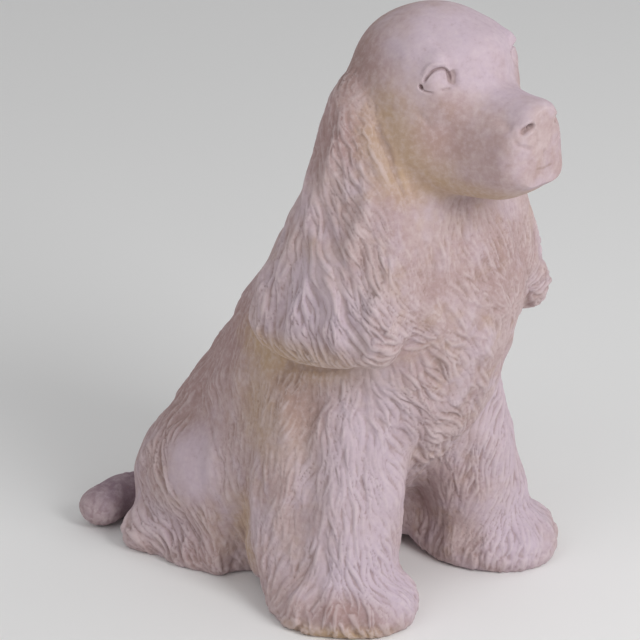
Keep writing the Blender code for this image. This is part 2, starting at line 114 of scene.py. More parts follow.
CHEST_LINES = (
    (1.0, 22, 4.2, (-8, -150, 300), (-14, -155, 284), (-18, -158, 272)),
    (0.9, 22, 4.4, (-12, -159, 274), (2, -163, 255), (18, -167, 238)),
    (0.9, 22, 4.4, (15, -158, 274), (27, -163, 257), (37, -162, 243)),
    (1.0, 20, 4.6, (-23, -163, 250), (-5, -166, 232), (7, -167, 217)),
    (1.0, 20, 4.6, (-29, -164, 222), (-14, -166, 205), (2, -164, 189)),
    (1.1, 20, 4.8, (-40, -152, 183), (-28, -153, 168), (-11, -150, 150)),
    (1.1, 20, 4.8, (-13, -161, 182), (6, -154, 158), (20, -145, 139)),
    (1.1, 20, 4.6, (-53, -147, 181), (-40, -148, 165), (-24, -147, 148)),
    (1.0, 20, 4.6, (-28, -132, 127), (-6, -127, 107), (32, -105, 78)),
    (0.9, 20, 4.6, (44, -158, 236), (46, -156, 212), (36, -154, 186), (24, -148, 160)),
)
COAT_LINES = (
    (0.7, 24, 4.4, (-50, -150, 290), (-53, -154, 272), (-57, -157, 256), (-56, -158, 236)),
    (0.9, 22, 4.4, (-60, -150, 217), (-50, -152, 199), (-47, -156, 190)),
    (1.0, 20, 4.4, (-60, -127, 161), (-49, -132, 149), (-38, -131, 133)),
    (0.7, 18, 4.2, (-27, -90, 72), (-33, -95, 62), (-35, -102, 54)),
    (1.1, 22, 4.4, (-63, -122, 161), (-54, -129, 142), (-34, -117, 104), (-30, -104, 60)),
    (1.0, 20, 4.2, (-72, -119, 113), (-65, -124, 97), (-59, -126, 80)),
    (0.8, 20, 4.2, (-70, -123, 83), (-62, -126, 66), (-56, -132, 50)),
    (0.8, 18, 3.8, (-85, -76, 146), (-94, -70, 127), (-101, -64, 105)),
    (0.8, 20, 4.0, (-87, -87, 120), (-95, -82, 96), (-99, -77, 77)),
    (0.9, 20, 4.2, (-101, -81, 64), (-109, -76, 49), (-117, -75, 39)),
    (0.8, 20, 4.0, (-81, -108, 147), (-81, -109, 113), (-89, -113, 86), (-90, -120, 58)),
    (1.1, 22, 4.6, (-106, -116, 49), (-112, -124, 44), (-120, -124, 33), (-121, -125, 12)),
    (1.1, 22, 4.6, (-100, -126, 49), (-104, -134, 45), (-109, -140, 32), (-110, -143, 12)),
    (1.1, 22, 4.6, (-92, -134, 50), (-97, -142, 45), (-96, -153, 33), (-90, -157, 14)),
    (0.9, 20, 4.6, (-78, -140, 47), (-79, -150, 39), (-69, -158, 28), (-65, -161, 14)),
    (0.8, 18, 4.4, (-52, -134, 42), (-42, -143, 30), (-34, -140, 12)),
    (0.8, 18, 4.4, (-40, -112, 42), (-28, -112, 30), (-24, -108, 12)),
    (0.9, 20, 4.4, (-116, -105, 42), (-129, -100, 28), (-126, -92, 12)),
    (0.7, 18, 4.0, (-104, -66, 90), (-110, -60, 50), (-112, -56, 12)),
    (0.6, 18, 3.8, (-96, -30, 128), (-96, -32, 88), (-97, -34, 50), (-96, -36, 14)),
    (0.6, 18, 3.8, (-80, 19, 135), (-87, 10, 116), (-94, -2, 98)),
    (0.8, 18, 3.8, (-97, -61, 152), (-98, -51, 131), (-101, -50, 113)),
    (0.6, 18, 3.8, (-84, -60, 200), (-88, -52, 180), (-92, -48, 158)),
    (0.7, 18, 3.8, (-78, -110, 196), (-82, -104, 176), (-84, -98, 158)),
    (0.6, 18, 3.8, (-82, -6, 190), (-86, -10, 168), (-88, -16, 140)),
    (0.7, 20, 4.0, (-73, 37, 129), (-85, 22, 114), (-96, 3, 93), (-102, -14, 66)),
    (0.6, 18, 3.8, (-83, -11, 153), (-93, -18, 119), (-96, -23, 82)),
    (0.9, 22, 4.4, (-76, 92, 89), (-103, 71, 78), (-109, 59, 55)),
    (1.3, 24, 5.4, (-96, 57, 96), (-108, 50, 67), (-110, 39, 50), (-109, 22, 42)),
    (1.5, 22, 6.0, (-103, 91, 37), (-110, 64, 30), (-110, 43, 24)),
    (1.6, 20, 6.2, (-109, 38, 30), (-113, 28, 16), (-110, 24, 2)),
    (1.5, 20, 6.0, (-108, 7, 36), (-106, -1, 22), (-103, -9, 8)),
    (1.5, 20, 6.0, (-108, 70, 24), (-108, 62, 12), (-106, 56, 2)),
    (1.3, 20, 5.8, (-92, 104, 40), (-94, 106, 20), (-92, 108, 4)),
    (0.7, 20, 4.4, (-55, 40, 155), (-67, 60, 124), (-66, 89, 93)),
    (0.6, 18, 4.0, (-100, -14, 60), (-93, -15, 38), (-89, -13, 12)),
    (0.6, 22, 4.4, (-20, -38, 330), (-28, -26, 290), (-36, -6, 240), (-42, 14, 200), (-48, 36, 168)),
    (0.6, 22, 4.4, (-4, -36, 320), (-4, -20, 280), (-4, 12, 220), (-4, 46, 178), (-4, 80, 140)),
    (0.8, 22, 4.6, (-4, 100, 116), (-6, 124, 80), (-8, 132, 40), (-10, 133, 8)),
    (0.8, 22, 4.6, (-40, 84, 116), (-52, 104, 84), (-60, 114, 50), (-64, 112, 12)),
    (0.6, 22, 4.4, (-60, -20, 250), (-70, -6, 214), (-72, 10, 180)),
    (0.5, 22, 4.2, (-46, -58, 330), (-56, -44, 290), (-62, -30, 262)),
    (0.16, 16, 3.4, (-44, -66, 414), (-52, -72, 396), (-54, -80, 372)),
    (0.16, 16, 3.4, (-24, -62, 424), (-34, -56, 396), (-40, -54, 362)),
    (0.14, 16, 3.4, (-4, -60, 428), (-6, -52, 396), (-8, -46, 350)),
    (0.05, 14, 3.2, (-4, -168, 412), (-6, -140, 436), (-6, -104, 440)),
    (0.05, 14, 3.2, (-22, -160, 418), (-32, -136, 428), (-38, -104, 428)),
    (0.05, 14, 3.2, (-30, -196, 352), (-40, -160, 352), (-48, -128, 346)),
    (0.05, 14, 3.2, (-28, -196, 374), (-38, -166, 376), (-48, -136, 374)),
    (0.12, 16, 3.4, (-52, -128, 392), (-54, -116, 376), (-56, -110, 352), (-54, -112, 330)),
    (0.06, 16, 3.4, (-48, -130, 352), (-44, -134, 330), (-44, -130, 312), (-46, -136, 304)),
    (0.25, 20, 4.0, (-50, -146, 300), (-54, -150, 286), (-58, -153, 268)),
    (0.05, 14, 3.2, (-4, -212, 336), (-6, -180, 316), (-8, -150, 312)),
)
# The same, with whether they lie on the ear and whether they have a mirrored twin
COMB = ((True, True, EAR_LINES), (False, False, CHEST_LINES), (False, True, COAT_LINES))
COMB_REACH = 13 * MM  # how far a combing line is felt
COMB_STEP = 9 * MM  # distance between the samples of a line
COMB_THINNING = 40  # one in so many points of the skin is combed, and the others ask their neighbours
COMB_BATCH = 4000  # points combed at a time
COMB_ACROSS = 1e-5  # what the ears' lines weigh on the body, and the body's on the ears

# Tufts and strands: length in the combing lines' lengths, wave length in millimetres, wave angle in radians
TUFT_FORM = (1.2, 90, 0.36)
STRAND_FORM = (1.5, 42, 0.34)
STRAND_STEPS = 9  # straight steps in each
STRAND_LENGTHS = (0.7, 1.35)  # least and most in the combing lines' lengths, and so on below
STRAND_WIDTHS = (0.8, 1.25)
STRAND_HEIGHTS = (0.7, 1.1)
WAVE_SPANS = (70, 52, 38)  # millimetres over which neighbouring waves keep step
WAVE_DRIFT = 2.4  # how far they get out of step beyond that
OVERLAP_STRAY = 6  # millimetres by which a lower strand may still lie over a higher one
PATCH_SPANS = (75, 52, 41, 34)  # millimetres from a deep patch of the coat to the next
PATCH_DEPTH, PATCH_RISE = 0.65, 0.5  # depth of a shallow patch, and what a deep one adds
PATCH_EDGE = (-1.6, 1.4)  # values of the wandering pattern between which the patches change

# Roots of the strands
ROOT_THINNING = 7  # one in so many points of the skin may carry a root
ROOT_SPACING = (0.48, 0.68)  # distance of roots along and across the fur, in strands
ROOT_CELL = 10 * MM  # cells in which the roots look for their neighbours
RELIEF_MIDDLE = 0.75  # height of the relief that stays level with the clay
LEAST_DEPTH = 0.03 * MM  # no roots where the fur is shallower
UNDERSIDE = (-0.85, -0.9)  # upward facing below which there are no roots, and no fur at all

# Places that stay smooth: whether they have a mirrored twin, centre, radii, share of the fur's depth left
BARE = (
    (True, (-99, 28, 80), (22, 25, 33), 0.05),
    (False, (-100, 122, 24), (34, 30, 30), 0.22),
)

# Fillers that the castings lack, before the clay is melted: name, centre, radii
FILLERS = (
    ("stopper", (0, 72, 4), (7, 7, 3.9)),
    ("eye", (-36, -149, 401), (11, 10.5, 10)),
    ("nostril", (-12.5, -211, 376), (6, 6, 6)),
    ("mouth", (0, -213, 345), (22, 5, 5)),
    ("lip", (0, -216, 356), (4, 3.5, 11)),
)

# Parts of the face that are evened out before they are modelled
EVEN_FACE = (
    ((-40, -146, 408), (24, 26, 26)),
    ((-28, -172, 384), (16, 16, 14)),
)

# Passes of softening
EVEN_FACE_PASSES = 60
CRISP_PASSES = 5  # of the border between crisp clay and even clay
MELT_PASSES = 6  # of the skin after its second melt
EAR_PASSES = 4  # of the border between ears and body
DEPTH_PASSES = 15  # of the depths that the combing lines give
PATCH_PASSES = 3  # of the deep and shallow patches
TUFT_PASSES = 3
STRAND_PASSES = (1, 0.15)  # with how strong each is
LIFT_PASSES = 14  # of the skin from which the lift of the strands is measured

BUCKET = 6 * MM  # cells into which the skin's points are sorted
SAME_WAY = 0.1  # cosine above which two directions face the same way

BOND = 0.35 * MM  # what each casting grows by, so that the clay closes the bonds between them
EAR_SKIN = 1.6 * MM  # clay this near an ear's casting belongs to the ear
EAR_MARGIN = 3 * MM  # room round that casting's box in which such clay is looked for
MUZZLE = (185 * MM, 200 * MM)  # from here on forwards the muzzle keeps its edges
GROUND = 0.4 * MM  # what is lower lies flat on the ground
HEM = (3 * MM, 13 * MM)  # heights between which the rounding of the hem ends
FUR_HEM = (6 * MM, 26 * MM)  # and between which its deeper tufts do
GROOVE_SHADE_DEPTH = (1.2 * MM, 2 * MM)  # depth at which a line starts to take painted shade, and the depth past that at which the shade is full
CARVING = 1.1 * MM  # lift of the skin that counts as a whole strand

# Blocks that part the clay, between two corners in millimetres
HEAD_BLOCK = ((-200, -300, 300), (200, 100, 500))
FORELEG_BLOCK = ((19, -250, -20), (200, -28, 160))
HAUNCH_BLOCK = ((58, -28, -20), (200, 118, 118))
CHEST_BLOCK = ((-200, -300, -20), (200, -28, 400))
EAR_REACH = 3.5 * MM  # what the ears' cutter grows by, as for the tail's
TAIL_REACH = 2 * MM
CUTTER_GRAIN = 2 * MM
DRESS_REACH = 1.5 * MM  # points of a piece this near the whole clay take its shading

# Seat of the base plug and hollow of the core: centre, radii
SEAT = ((0, 40, 0), (47.3, 54.3, 8.3))
CORE = ((0, 40, 60), (38, 42, 58))

# Soft swellings and hollows on both sides alike: centre, spread, height
MOUNDS = (
    ((-41.5, -153.5, 401.2), (5.2, 5, 5.2), 1.2),
    ((-35.5, -158.5, 403), (4, 4, 6), -1.8),
    ((-42, -133, 421), (11, 12, 8), 1.3),
    ((-35.5, -151.5, 414.2), (7, 6.5, 4.8), 4.8),
    ((-20.5, -199, 381), (5, 8, 5), -1.2),
    ((-8, -209, 389), (9, 13, 5), 1.4),
    ((0, -217, 384), (11, 5, 4), 2.6),
    ((-10, -212, 387), (7, 7, 6), 2.6),
    ((-12, -213, 339), (8, 6, 8), 3),
    ((0, -214, 341), (16, 6, 5), 2.6),
    ((-19, -216, 352), (6, 6, 9), -1.2),
    ((0, -208, 331), (14, 7, 4), -0.8),
    ((-11, -90, 434), (20, 20, 10), -0.8),
    ((-46, -80, 393), (9, 10, 9), 2.6),
    ((-65, -74, 360), (9, 12, 14), 1.6),
    ((-59, -78, 376), (10, 14, 13), 4.4),
    ((-76, -70, 333), (8, 12, 9), -1.4),
    ((-86, -61, 290), (12, 14, 13), 4),
    ((-60, -22, 262), (14, 16, 12), 2.4),
    ((75, -148, 258), (9, 10, 18), -2.6),
    ((78, -145, 211), (10, 12, 11), 6),
    ((42, -157, 189), (12, 11, 18), -4.4),
    ((78, -116, 136), (10, 12, 14), -2.2),
    ((88, -126, 50), (12, 10, 13), 3.2),
    ((-70, -156, 6), (22, 8, 10), 3.2),
    ((-48, -148, 12), (10, 10, 10), 1.4),
    ((-106, -43, 16), (7, 10, 12), -6.5),
    ((-120, -97, 5), (9, 18, 8), 3.4),
    ((-48, 66, 146), (12, 12, 10), -2.6),
    ((-60, 72, 115), (17, 19, 14), 6.6),
    ((-67, 80, 103), (10, 14, 10), 4),
    ((-99, 27, 80), (12, 18, 24), 2.6),
    ((-114, 84, 12), (14, 20, 13), 7.5),
    ((-110, 28, 4), (12, 14, 8), 3.4),
    ((-117, 128, 18), (8, 12, 9), 3),
    ((-86, 126, 29), (12, 10, 8), 4),
    ((-98, 124, 33), (6, 10, 8), -1.2),
)

# Rings round the eyes and the nose where the clay is finer: centre and radius
FINE_RINGS = ((-38, -154, 403, 24), (-12, -212, 372, 20), (-10, -212, 350, 22))

# Lines of the face and the thigh: width, depth, share of their length that fades at each end, points
LINES = (
    (3.8, 2.9, 0.12, (-45.2, -146.2, 399.4), (-43.6, -148, 403.2), (-41.6, -149.6, 406.4),
     (-38.6, -151.4, 408.9), (-35, -153.8, 409.9), (-32.6, -156.4, 408), (-32.1, -158.7, 404.2),
     (-33.6, -160, 399.8)),
    (5.0, -1.0, 0.3, (-44.6, -144.6, 403), (-42, -146.8, 408.5), (-38.5, -149.5, 412.2),
     (-34, -152.3, 413.2), (-30.4, -155.6, 411)),
    (2.8, 1.4, 0.3, (-45.8, -145.5, 395.8), (-45.1, -147.7, 394.5), (-43.7, -151, 393.9),
     (-41.6, -154.6, 393.9)),
    (3.4, 1.1, 0.3, (-39.4, -157.1, 395.4), (-36.2, -159.6, 396.7), (-32.7, -161.9, 397.1)),
    (11.0, 2.4, 0.35, (-30, -157, 408.6), (-30.4, -159.5, 405.9), (-31.2, -161.3, 400.8),
     (-32.7, -161.9, 397.1)),
    (11.0, 1.3, 0.35, (-29.4, -134.2, 427.4), (-29.3, -140.6, 425.3), (-29.4, -147.2, 421.9),
     (-29.8, -153.2, 416.3), (-29.3, -157.5, 410.8), (-28.7, -160.7, 405.7), (-28.9, -162.8, 400.6)),
    (4.4, 4.2, 0.0, (-46, -144.9, 397.1), (-45.6, -145.4, 396.3)),
    (9.0, 4.4, 0.25, (-20.6, -210.3, 373.2), (-17.2, -213.6, 375.1), (-14.9, -215, 376.6),
     (-12.6, -215.6, 377.6), (-9.0, -216.1, 378.5)),
    (5.6, 2.4, 0.0, (-14, -215.3, 376.8), (-11.6, -215.8, 377.7)),
    (11.0, 1.3, 0.45, (-22.4, -192, 378.2), (-21.7, -202.3, 377.3), (-20.6, -207.7, 376.2)),
    (5.6, 1.0, 0.35, (-22.2, -208.1, 371.4), (-21.9, -211.7, 366.2), (-18.9, -214.4, 364.4),
     (-14, -216.4, 362.6), (-6.1, -217.5, 359.8)),
    (4.6, 0.6, 0.3, (-7.6, -216.6, 375.9), (-7, -217.1, 368.1), (-6.5, -217.4, 360.3)),
    (6.0, 2.2, 0.35, (-14.5, -215.4, 346), (-9.9, -216.9, 346.4), (-5, -217.3, 346.6), (0, -217.5, 346),
     (5, -217.3, 346.6), (9.9, -216.9, 346.4), (14.5, -215.4, 346)),
    (6.0, 1.1, 0.3, (0, -217.6, 361), (0, -218, 354), (0, -217.8, 348)),
    (6.6, -0.9, 0.35, (-10, -215.6, 341), (0, -216.2, 340.6), (10, -215.6, 341)),
    (8.0, 0.6, 0.4, (-48.2, -140.4, 382), (-44.8, -147.7, 374.6), (-41, -155.6, 364)),
    (9.0, 1.9, 0.3, (-55.6, -109.2, 378.6), (-56.9, -114, 368.7), (-57.6, -118.4, 358.7),
     (-57, -124.1, 350.7), (-54.9, -129.5, 338.3), (-52.4, -133.4, 327.4), (-49.2, -137.8, 314.8),
     (-49.7, -141.2, 304.9)),
    (12.0, -1.6, 0.3, (-61, -104, 373), (-62.8, -110, 362), (-63.8, -117, 351), (-63.4, -123.2, 340.2),
     (-62, -129.7, 327.3), (-61, -136.6, 311.1)),
    (14.0, 2.0, 0.3, (-87.6, -40, 182), (-84.6, -58.3, 179), (-83.4, -79, 182), (-80.8, -99.2, 187.5),
     (-86, -129, 201), (-83, -144, 208)),
    (7.0, 1.3, 0.3, (-92, 66, 96), (-99.2, 63.6, 83), (-105.6, 57, 70.2), (-108.4, 48.8, 61.7),
     (-109.4, 38.3, 48.5)),
    (7.0, 0.7, 0.35, (-84, 28, 113), (-90.2, 17.1, 105.3), (-98.6, -0.9, 86.7), (-101.8, -7.2, 69.1)),
    (7.5, -1.5, 0.3, (-101, 69, 80), (-106.5, 61, 65), (-109.5, 49, 53), (-109.8, 38, 43)),
    (6.5, -1.3, 0.3, (-103, 55, 74), (-107.5, 47.5, 63), (-109.3, 38.6, 54), (-109, 28, 47.5)),
)

# Where light and shade are painted on the stone: mauve, violet and the dark dust colour paint shade, lilac
# paints light on lit and upward places, and ochre paints shade warmed by bounce light under the cheeks, the
# ears and round the paws. Which colour, centre (on both sides alike, unless it lies on the right), radii, and
# how strongly
TINTS = (
    ("mauve", (30, -20, 390), (64, 64, 64), 0.95),
    ("dust_and_shade", (36, -30, 386), (50, 50, 60), 0.6),
    ("mauve", (46, -86, 402), (24, 36, 26), 0.9),
    ("dust_and_shade", (50, -76, 396), (24, 34, 26), 0.4),
    ("mauve", (64, -74, 345), (24, 28, 44), 0.75),
    ("mauve", (68, -100, 357), (20, 26, 26), 0.9),
    ("mauve", (65, -134, 312), (14, 22, 30), 0.55),
    ("mauve", (60, 70, 150), (60, 75, 110), 0.95),
    ("mauve", (70, 125, 16), (80, 34, 44), 0.95),
    ("violet", (80, 124, 24), (56, 30, 36), 0.95),
    ("mauve", (110, 20, 22), (18, 34, 20), 0.6),
    ("mauve", (72, 5, 184), (26, 36, 34), 0.95),
    ("lilac", (20, -150, 425), (48, 50, 34), 0.8),
    ("lilac", (12, -190, 398), (24, 34, 16), 0.7),
    ("ochre", (50, -124, 352), (24, 30, 44), 0.7),
    ("ochre", (40, -154, 348), (22, 28, 30), 0.5),
    ("mauve", (38, -160, 362), (20, 26, 20), 0.7),
    ("mauve", (36, -164, 386), (16, 14, 10), 0.4),
    ("ochre", (20, -165, 322), (60, 56, 14), 0.7),
    ("mauve", (30, -190, 352), (24, 24, 26), 0.4),
    ("mauve", (20, -165, 262), (44, 30, 34), 0.4),
    ("ochre", (88, -60, 186), (40, 70, 20), 0.75),
    ("lilac", (85, -90, 235), (40, 60, 36), 0.7),
    ("ochre", (90, -90, 200), (40, 60, 12), 0.4),
    ("lilac", (75, -130, 115), (50, 50, 75), 0.75),
    ("ochre", (86, -45, 150), (30, 44, 50), 0.55),
    ("mauve", (87, -70, 157), (24, 30, 26), 0.5),
    ("lilac", (90, -140, 40), (50, 46, 28), 0.9),
    ("mauve", (-112, -138, 20), (22, 26, 13), 1),
    ("mauve", (-85, -160, 12), (40, 20, 14), 0.5),
    ("ochre", (-106, -128, 2), (40, 44, 10), 0.9),
    ("lilac", (60, -148, 24), (26, 24, 24), 1),
    ("ochre", (98, -26, 40), (14, 16, 34), 0.75),
    ("lilac", (100, 26, 82), (22, 30, 34), 0.7),
    ("lilac", (105, 60, 26), (20, 50, 18), 0.5),
)
TINT_EDGE = (1.35, 0.3)  # radii at which a tint begins and is full
SAND = 0.6 * MM  # height of the stone's grain
MARKS = 0.2 * MM  # height of the drawing marks on the steel

# Stage
FLOOR_SIZE = 12
FLOOR_LEVEL = -0.2 * MM
LAMP_TARGET = Vector((0, -0.05, 0.2))
CAMERA_TARGET = Vector((-0.0564, -0.060, 0.2058))
CAMERA_AZIMUTH = -45
CAMERA_ELEVATION = 22.3
CAMERA_DISTANCE = 2.5
CAMERA_LENS = 198.8


def only(*objects):
    """Selects just these objects and makes the first one active."""
    bpy.ops.object.select_all(action="DESELECT")
    for obj in objects:
        obj.select_set(True)
    bpy.context.view_layer.objects.active = objects[0]


def apply(obj, kind, name, **settings):
    """Adds a modifier with these settings and applies it."""
    only(obj)
    modifier = obj.modifiers.new(name, kind)
    for key, value in settings.items():
        setattr(modifier, key, value)
    bpy.ops.object.modifier_apply(modifier=modifier.name)
    return obj


def copy_of(node_name, name):
    """A loose copy of a CAD node, its triangles merged into one skin."""
    copy = bpy.data.objects.new(name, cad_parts[node_name].data.copy())
    bpy.context.scene.collection.objects.link(copy)
    only(copy)
    bpy.ops.object.mode_set(mode="EDIT")
    bpy.ops.mesh.select_all(action="SELECT")
    bpy.ops.mesh.remove_doubles(threshold=0.000001)
    bpy.ops.object.mode_set(mode="OBJECT")
    copy.data.materials.clear()
    return copy


def fatten(obj, distance):
    apply(obj, "DISPLACE", "fatten", strength=distance, mid_level=0)
    return obj


def named(obj, name):
    obj.name = obj.data.name = name
    return obj


def joined(objects, name):
    """One object made of these, or the only one, under a new name."""
    only(*objects)
    if len(objects) > 1:
        bpy.ops.object.join()
    return named(bpy.context.object, name)


def placed(shape, name, centre, radii, **settings):
    """A primitive of radius 1, set to a centre and radii in millimetres within its own mesh."""
    bpy.ops.object.select_all(action="DESELECT")
    shape(radius=1, **settings)
    made = named(bpy.context.object, name)
    made.scale = [r * MM for r in radii]
    made.location = [c * MM for c in centre]
    bpy.ops.object.transform_apply(location=True, rotation=True, scale=True)
    return made


def ball(name, centre, radii, segments=32):
    return placed(bpy.ops.mesh.primitive_uv_sphere_add, name, centre, radii,
                  segments=segments, ring_count=segments // 2)


def both_sides(centre):
    """A centre and, where it lies to one side, its mirrored twin."""
    x, y, z = centre
    return (centre, (-x, y, z)) if x else (centre,)


def read(elements, field, width=1, kind=np.float32):
    """A field of all the elements of a mesh, as an array."""
    flat = np.empty(len(elements) * width, kind)
    elements.foreach_get(field, flat)
    return flat.reshape(-1, width) if width > 1 else flat


def positions(mesh):
    return read(mesh.vertices, "co", 3).astype(float)


def normals(mesh):
    return read(mesh.vertex_normals, "vector", 3).astype(float)


def move_to(mesh, places):
    mesh.vertices.foreach_set("co", places.astype(np.float32).ravel())
    mesh.update()


def within_box(places):
    """Keeps the skin inside the box of the castings."""
    return np.clip(places, CAD_BOX[0], CAD_BOX[1])


def soften(values, edges, degree, passes, strength=0.5):
    """Evens values out over the skin, each towards the mean of its neighbours."""
    a, b = edges
    for _ in range(passes):
        if values.ndim == 1:
            total = np.bincount(a, values[b], len(values)) + np.bincount(b, values[a], len(values))
            values = values + (total / degree - values) * strength
        else:
            columns = [np.bincount(a, v[b], len(v)) + np.bincount(b, v[a], len(v)) for v in values.T]
            share = strength if np.isscalar(strength) else strength[:, None]
            values = values + (np.stack(columns, 1) / degree[:, None] - values) * share
    return values


def links(mesh):
    """Both ends of every edge, and how many edges meet at every point."""
    a, b = read(mesh.edges, "vertices", 2, np.int32).T
    degree = np.bincount(a, minlength=len(mesh.vertices)) + np.bincount(b, minlength=len(mesh.vertices))
    return (a, b), np.maximum(degree, 1).astype(float)


def tree_of(places, rows=None):
    """A search tree of places, or of some rows of them, that answers with their rows."""
    rows = range(len(places)) if rows is None else rows
    tree = KDTree(len(rows))
    for row in rows:
        tree.insert(places[row], int(row))
    tree.balance()
    return tree


def ease(value, low, high):
    """0 below low, 1 above high, and a smooth step between them."""
    t = np.clip((value - low) / (high - low), 0, 1)
    return t * t * (3 - 2 * t)


def inside(places, centre, radii, soft=0.35):
    """1 inside an ellipsoid given in millimetres, fading to 0 beyond it."""
    far = np.linalg.norm((places - np.array(centre) * MM) / (np.array(radii) * MM), axis=1)
    return 1 - ease(far, 1 - soft, 1 + soft)


class Comb:
    """The way the fur lies anywhere on the skin, blended from the combing lines."""

    def __init__(self, places, on_ear):
        rows = []
        for ear, mirrored, lines in COMB:
            for depth, length, width, *line in lines:
                line = np.array(line, float) * MM
                for start, end in zip(line, line[1:]):
                    count = max(1, round(np.linalg.norm(end - start) / COMB_STEP))
                    flow = (end - start) / np.linalg.norm(end - start)
                    for i in range(count):
                        place = start + (end - start) * (i + 0.5) / count
                        row = [*place, *flow, depth * MM, length * MM, width * MM, ear]
                        rows.append(row)
                        if mirrored:
                            rows.append([-row[0], *row[1:3], -row[3], *row[4:]])
        table = np.array(rows)
        chosen = np.arange(0, len(places), COMB_THINNING)
        self.flow = np.zeros((len(chosen), 3))
        self.sizes = np.zeros((len(chosen), 3))
        for low in range(0, len(chosen), COMB_BATCH):
            part = chosen[low : low + COMB_BATCH]
            gap = ((places[part][:, None, :] - table[None, :, :3]) ** 2).sum(2)
            weight = np.exp(-(gap - gap.min(1, keepdims=True)) / (2 * COMB_REACH**2))
            weight *= np.where(on_ear[part][:, None] == (table[None, :, 9] > 0.5), 1, COMB_ACROSS)
            weight /= weight.sum(1, keepdims=True)
            self.flow[low : low + COMB_BATCH] = weight @ table[:, 3:6]
            self.sizes[low : low + COMB_BATCH] = weight @ table[:, 6:9]
        self.trees = {ear: tree_of(places[chosen], np.nonzero(on_ear[chosen] == ear)[0])
                      for ear in (False, True)}

    def at(self, places, on_ear, count=3):
        """Flow and strand sizes at these places."""
        flows, sizes = np.zeros((len(places), 3)), np.zeros((len(places), 3))
        for i, (place, ear) in enumerate(zip(places, on_ear)):
            rows, shares = [], []
            for _, row, gap in self.trees[bool(ear)].find_n(place, count):
                rows.append(row)
                shares.append(1 / (gap + MM))
            shares = np.array(shares) / sum(shares)
            flows[i] = shares @ self.flow[rows]
            sizes[i] = shares @ self.sizes[rows]
        return flows, sizes


def drift(places, spans, seed):
    """A smooth wandering value over space, from a few waves about this long in millimetres."""
    dice = np.random.default_rng(seed)
    total = np.zeros(len(places))
    for span in spans:
        heading = dice.normal(size=3)
        heading *= 2 * np.pi / (span * MM * np.linalg.norm(heading))
        total += np.sin(places @ heading + dice.uniform(0, 7))
    return total


class Buckets:
    """The skin's points sorted into small cells, to find those near a line."""

    def __init__(self, places, cell):
        self.low, self.cell = places.min(0) - cell, cell
        keys = np.floor((places - self.low) / cell).astype(np.int64)
        self.span = [int(v) for v in keys.max(0) + 2]
        flat = (keys[:, 0] * self.span[1] + keys[:, 1]) * self.span[2] + keys[:, 2]
        self.order = np.argsort(flat, kind="stable")
        names, starts = np.unique(flat[self.order], return_index=True)
        ends = np.append(starts[1:], len(flat))
        self.ranges = {int(n): (int(s), int(e)) for n, s, e in zip(names, starts, ends)}

    def near(self, line, reach):
        low = np.floor((line.min(0) - reach - self.low) / self.cell).astype(int).tolist()
        high = np.floor((line.max(0) + reach - self.low) / self.cell).astype(int).tolist()
        found = []
        for i in range(low[0], high[0] + 1):
            for j in range(low[1], high[1] + 1):
                row = (i * self.span[1] + j) * self.span[2]
                for k in range(low[2], high[2] + 1):
                    ends = self.ranges.get(row + k)
                    if ends:
                        found.append(self.order[ends[0] : ends[1]])
        return np.concatenate(found) if found else np.empty(0, int)


class Skin:
    """The clay's mesh as arrays, with what carving needs to know about it."""

    def __init__(self, clay):
        self.places, self.facing = positions(clay.data), normals(clay.data)
        self.tree = BVHTree.FromObject(clay, bpy.context.evaluated_depsgraph_get())
        self.buckets = Buckets(self.places, BUCKET)

    def beside(self, line, normal, reach):
        """Points near a line, how far along it they lie from 0 to 1, and their distance from it."""
        near = self.buckets.near(line, reach)
        near = near[self.facing[near] @ normal > SAME_WAY]
        if not len(near):
            return near, near, near
        start, along = line[:-1], line[1:] - line[:-1]
        offset = self.places[near][:, None, :] - start[None]
        share = np.clip((offset * along).sum(2) / np.maximum((along * along).sum(1), 1e-12), 0, 1)
        gap = ((offset - share[:, :, None] * along) ** 2).sum(2)
        best = gap.argmin(1)
        rows = np.arange(len(near))
        return near, (best + share[rows, best]) / len(start), np.sqrt(gap[rows, best])

    def snap(self, points):
        found = [self.tree.find_nearest(point) for point in points]
        return np.array([f[0] for f in found]), np.array([f[1] for f in found])


def curved(points, pieces=6):
    """A smooth line through points, rounded at each of them."""
    points = np.array(points, float)
    padded = np.vstack([2 * points[0] - points[1], points, 2 * points[-1] - points[-2]])
    line = []
    for i in range(len(points) - 1):
        a, b, c, d = padded[i : i + 4]
        for step in range(pieces):
            t = step / pieces
            line.append(0.5 * (2 * b + (c - a) * t + (2 * a - 5 * b + 4 * c - d) * t**2
                               + (3 * b - a - 3 * c + d) * t**3))
    line.append(points[-1])
    return np.array(line)


def incise(skin, push, points, width, depth, ends=0.25):
    """A rounded groove along points in millimetres, or a ridge where depth is negative."""
    line, up = skin.snap(curved(points) * MM)
    near, run, gap = skin.beside(line, up.mean(0) / np.linalg.norm(up.mean(0)), width * MM)
    across = gap / (width / 2 * MM)
    fade = ease(run, 0, ends) * (1 - ease(run, 1 - ends, 1)) if ends else 1
    hollow = np.where(across < 1, np.cos(np.clip(across, 0, 1) * np.pi) * 0.5 + 0.5, 0)
    push[near] -= hollow * depth * MM * fade


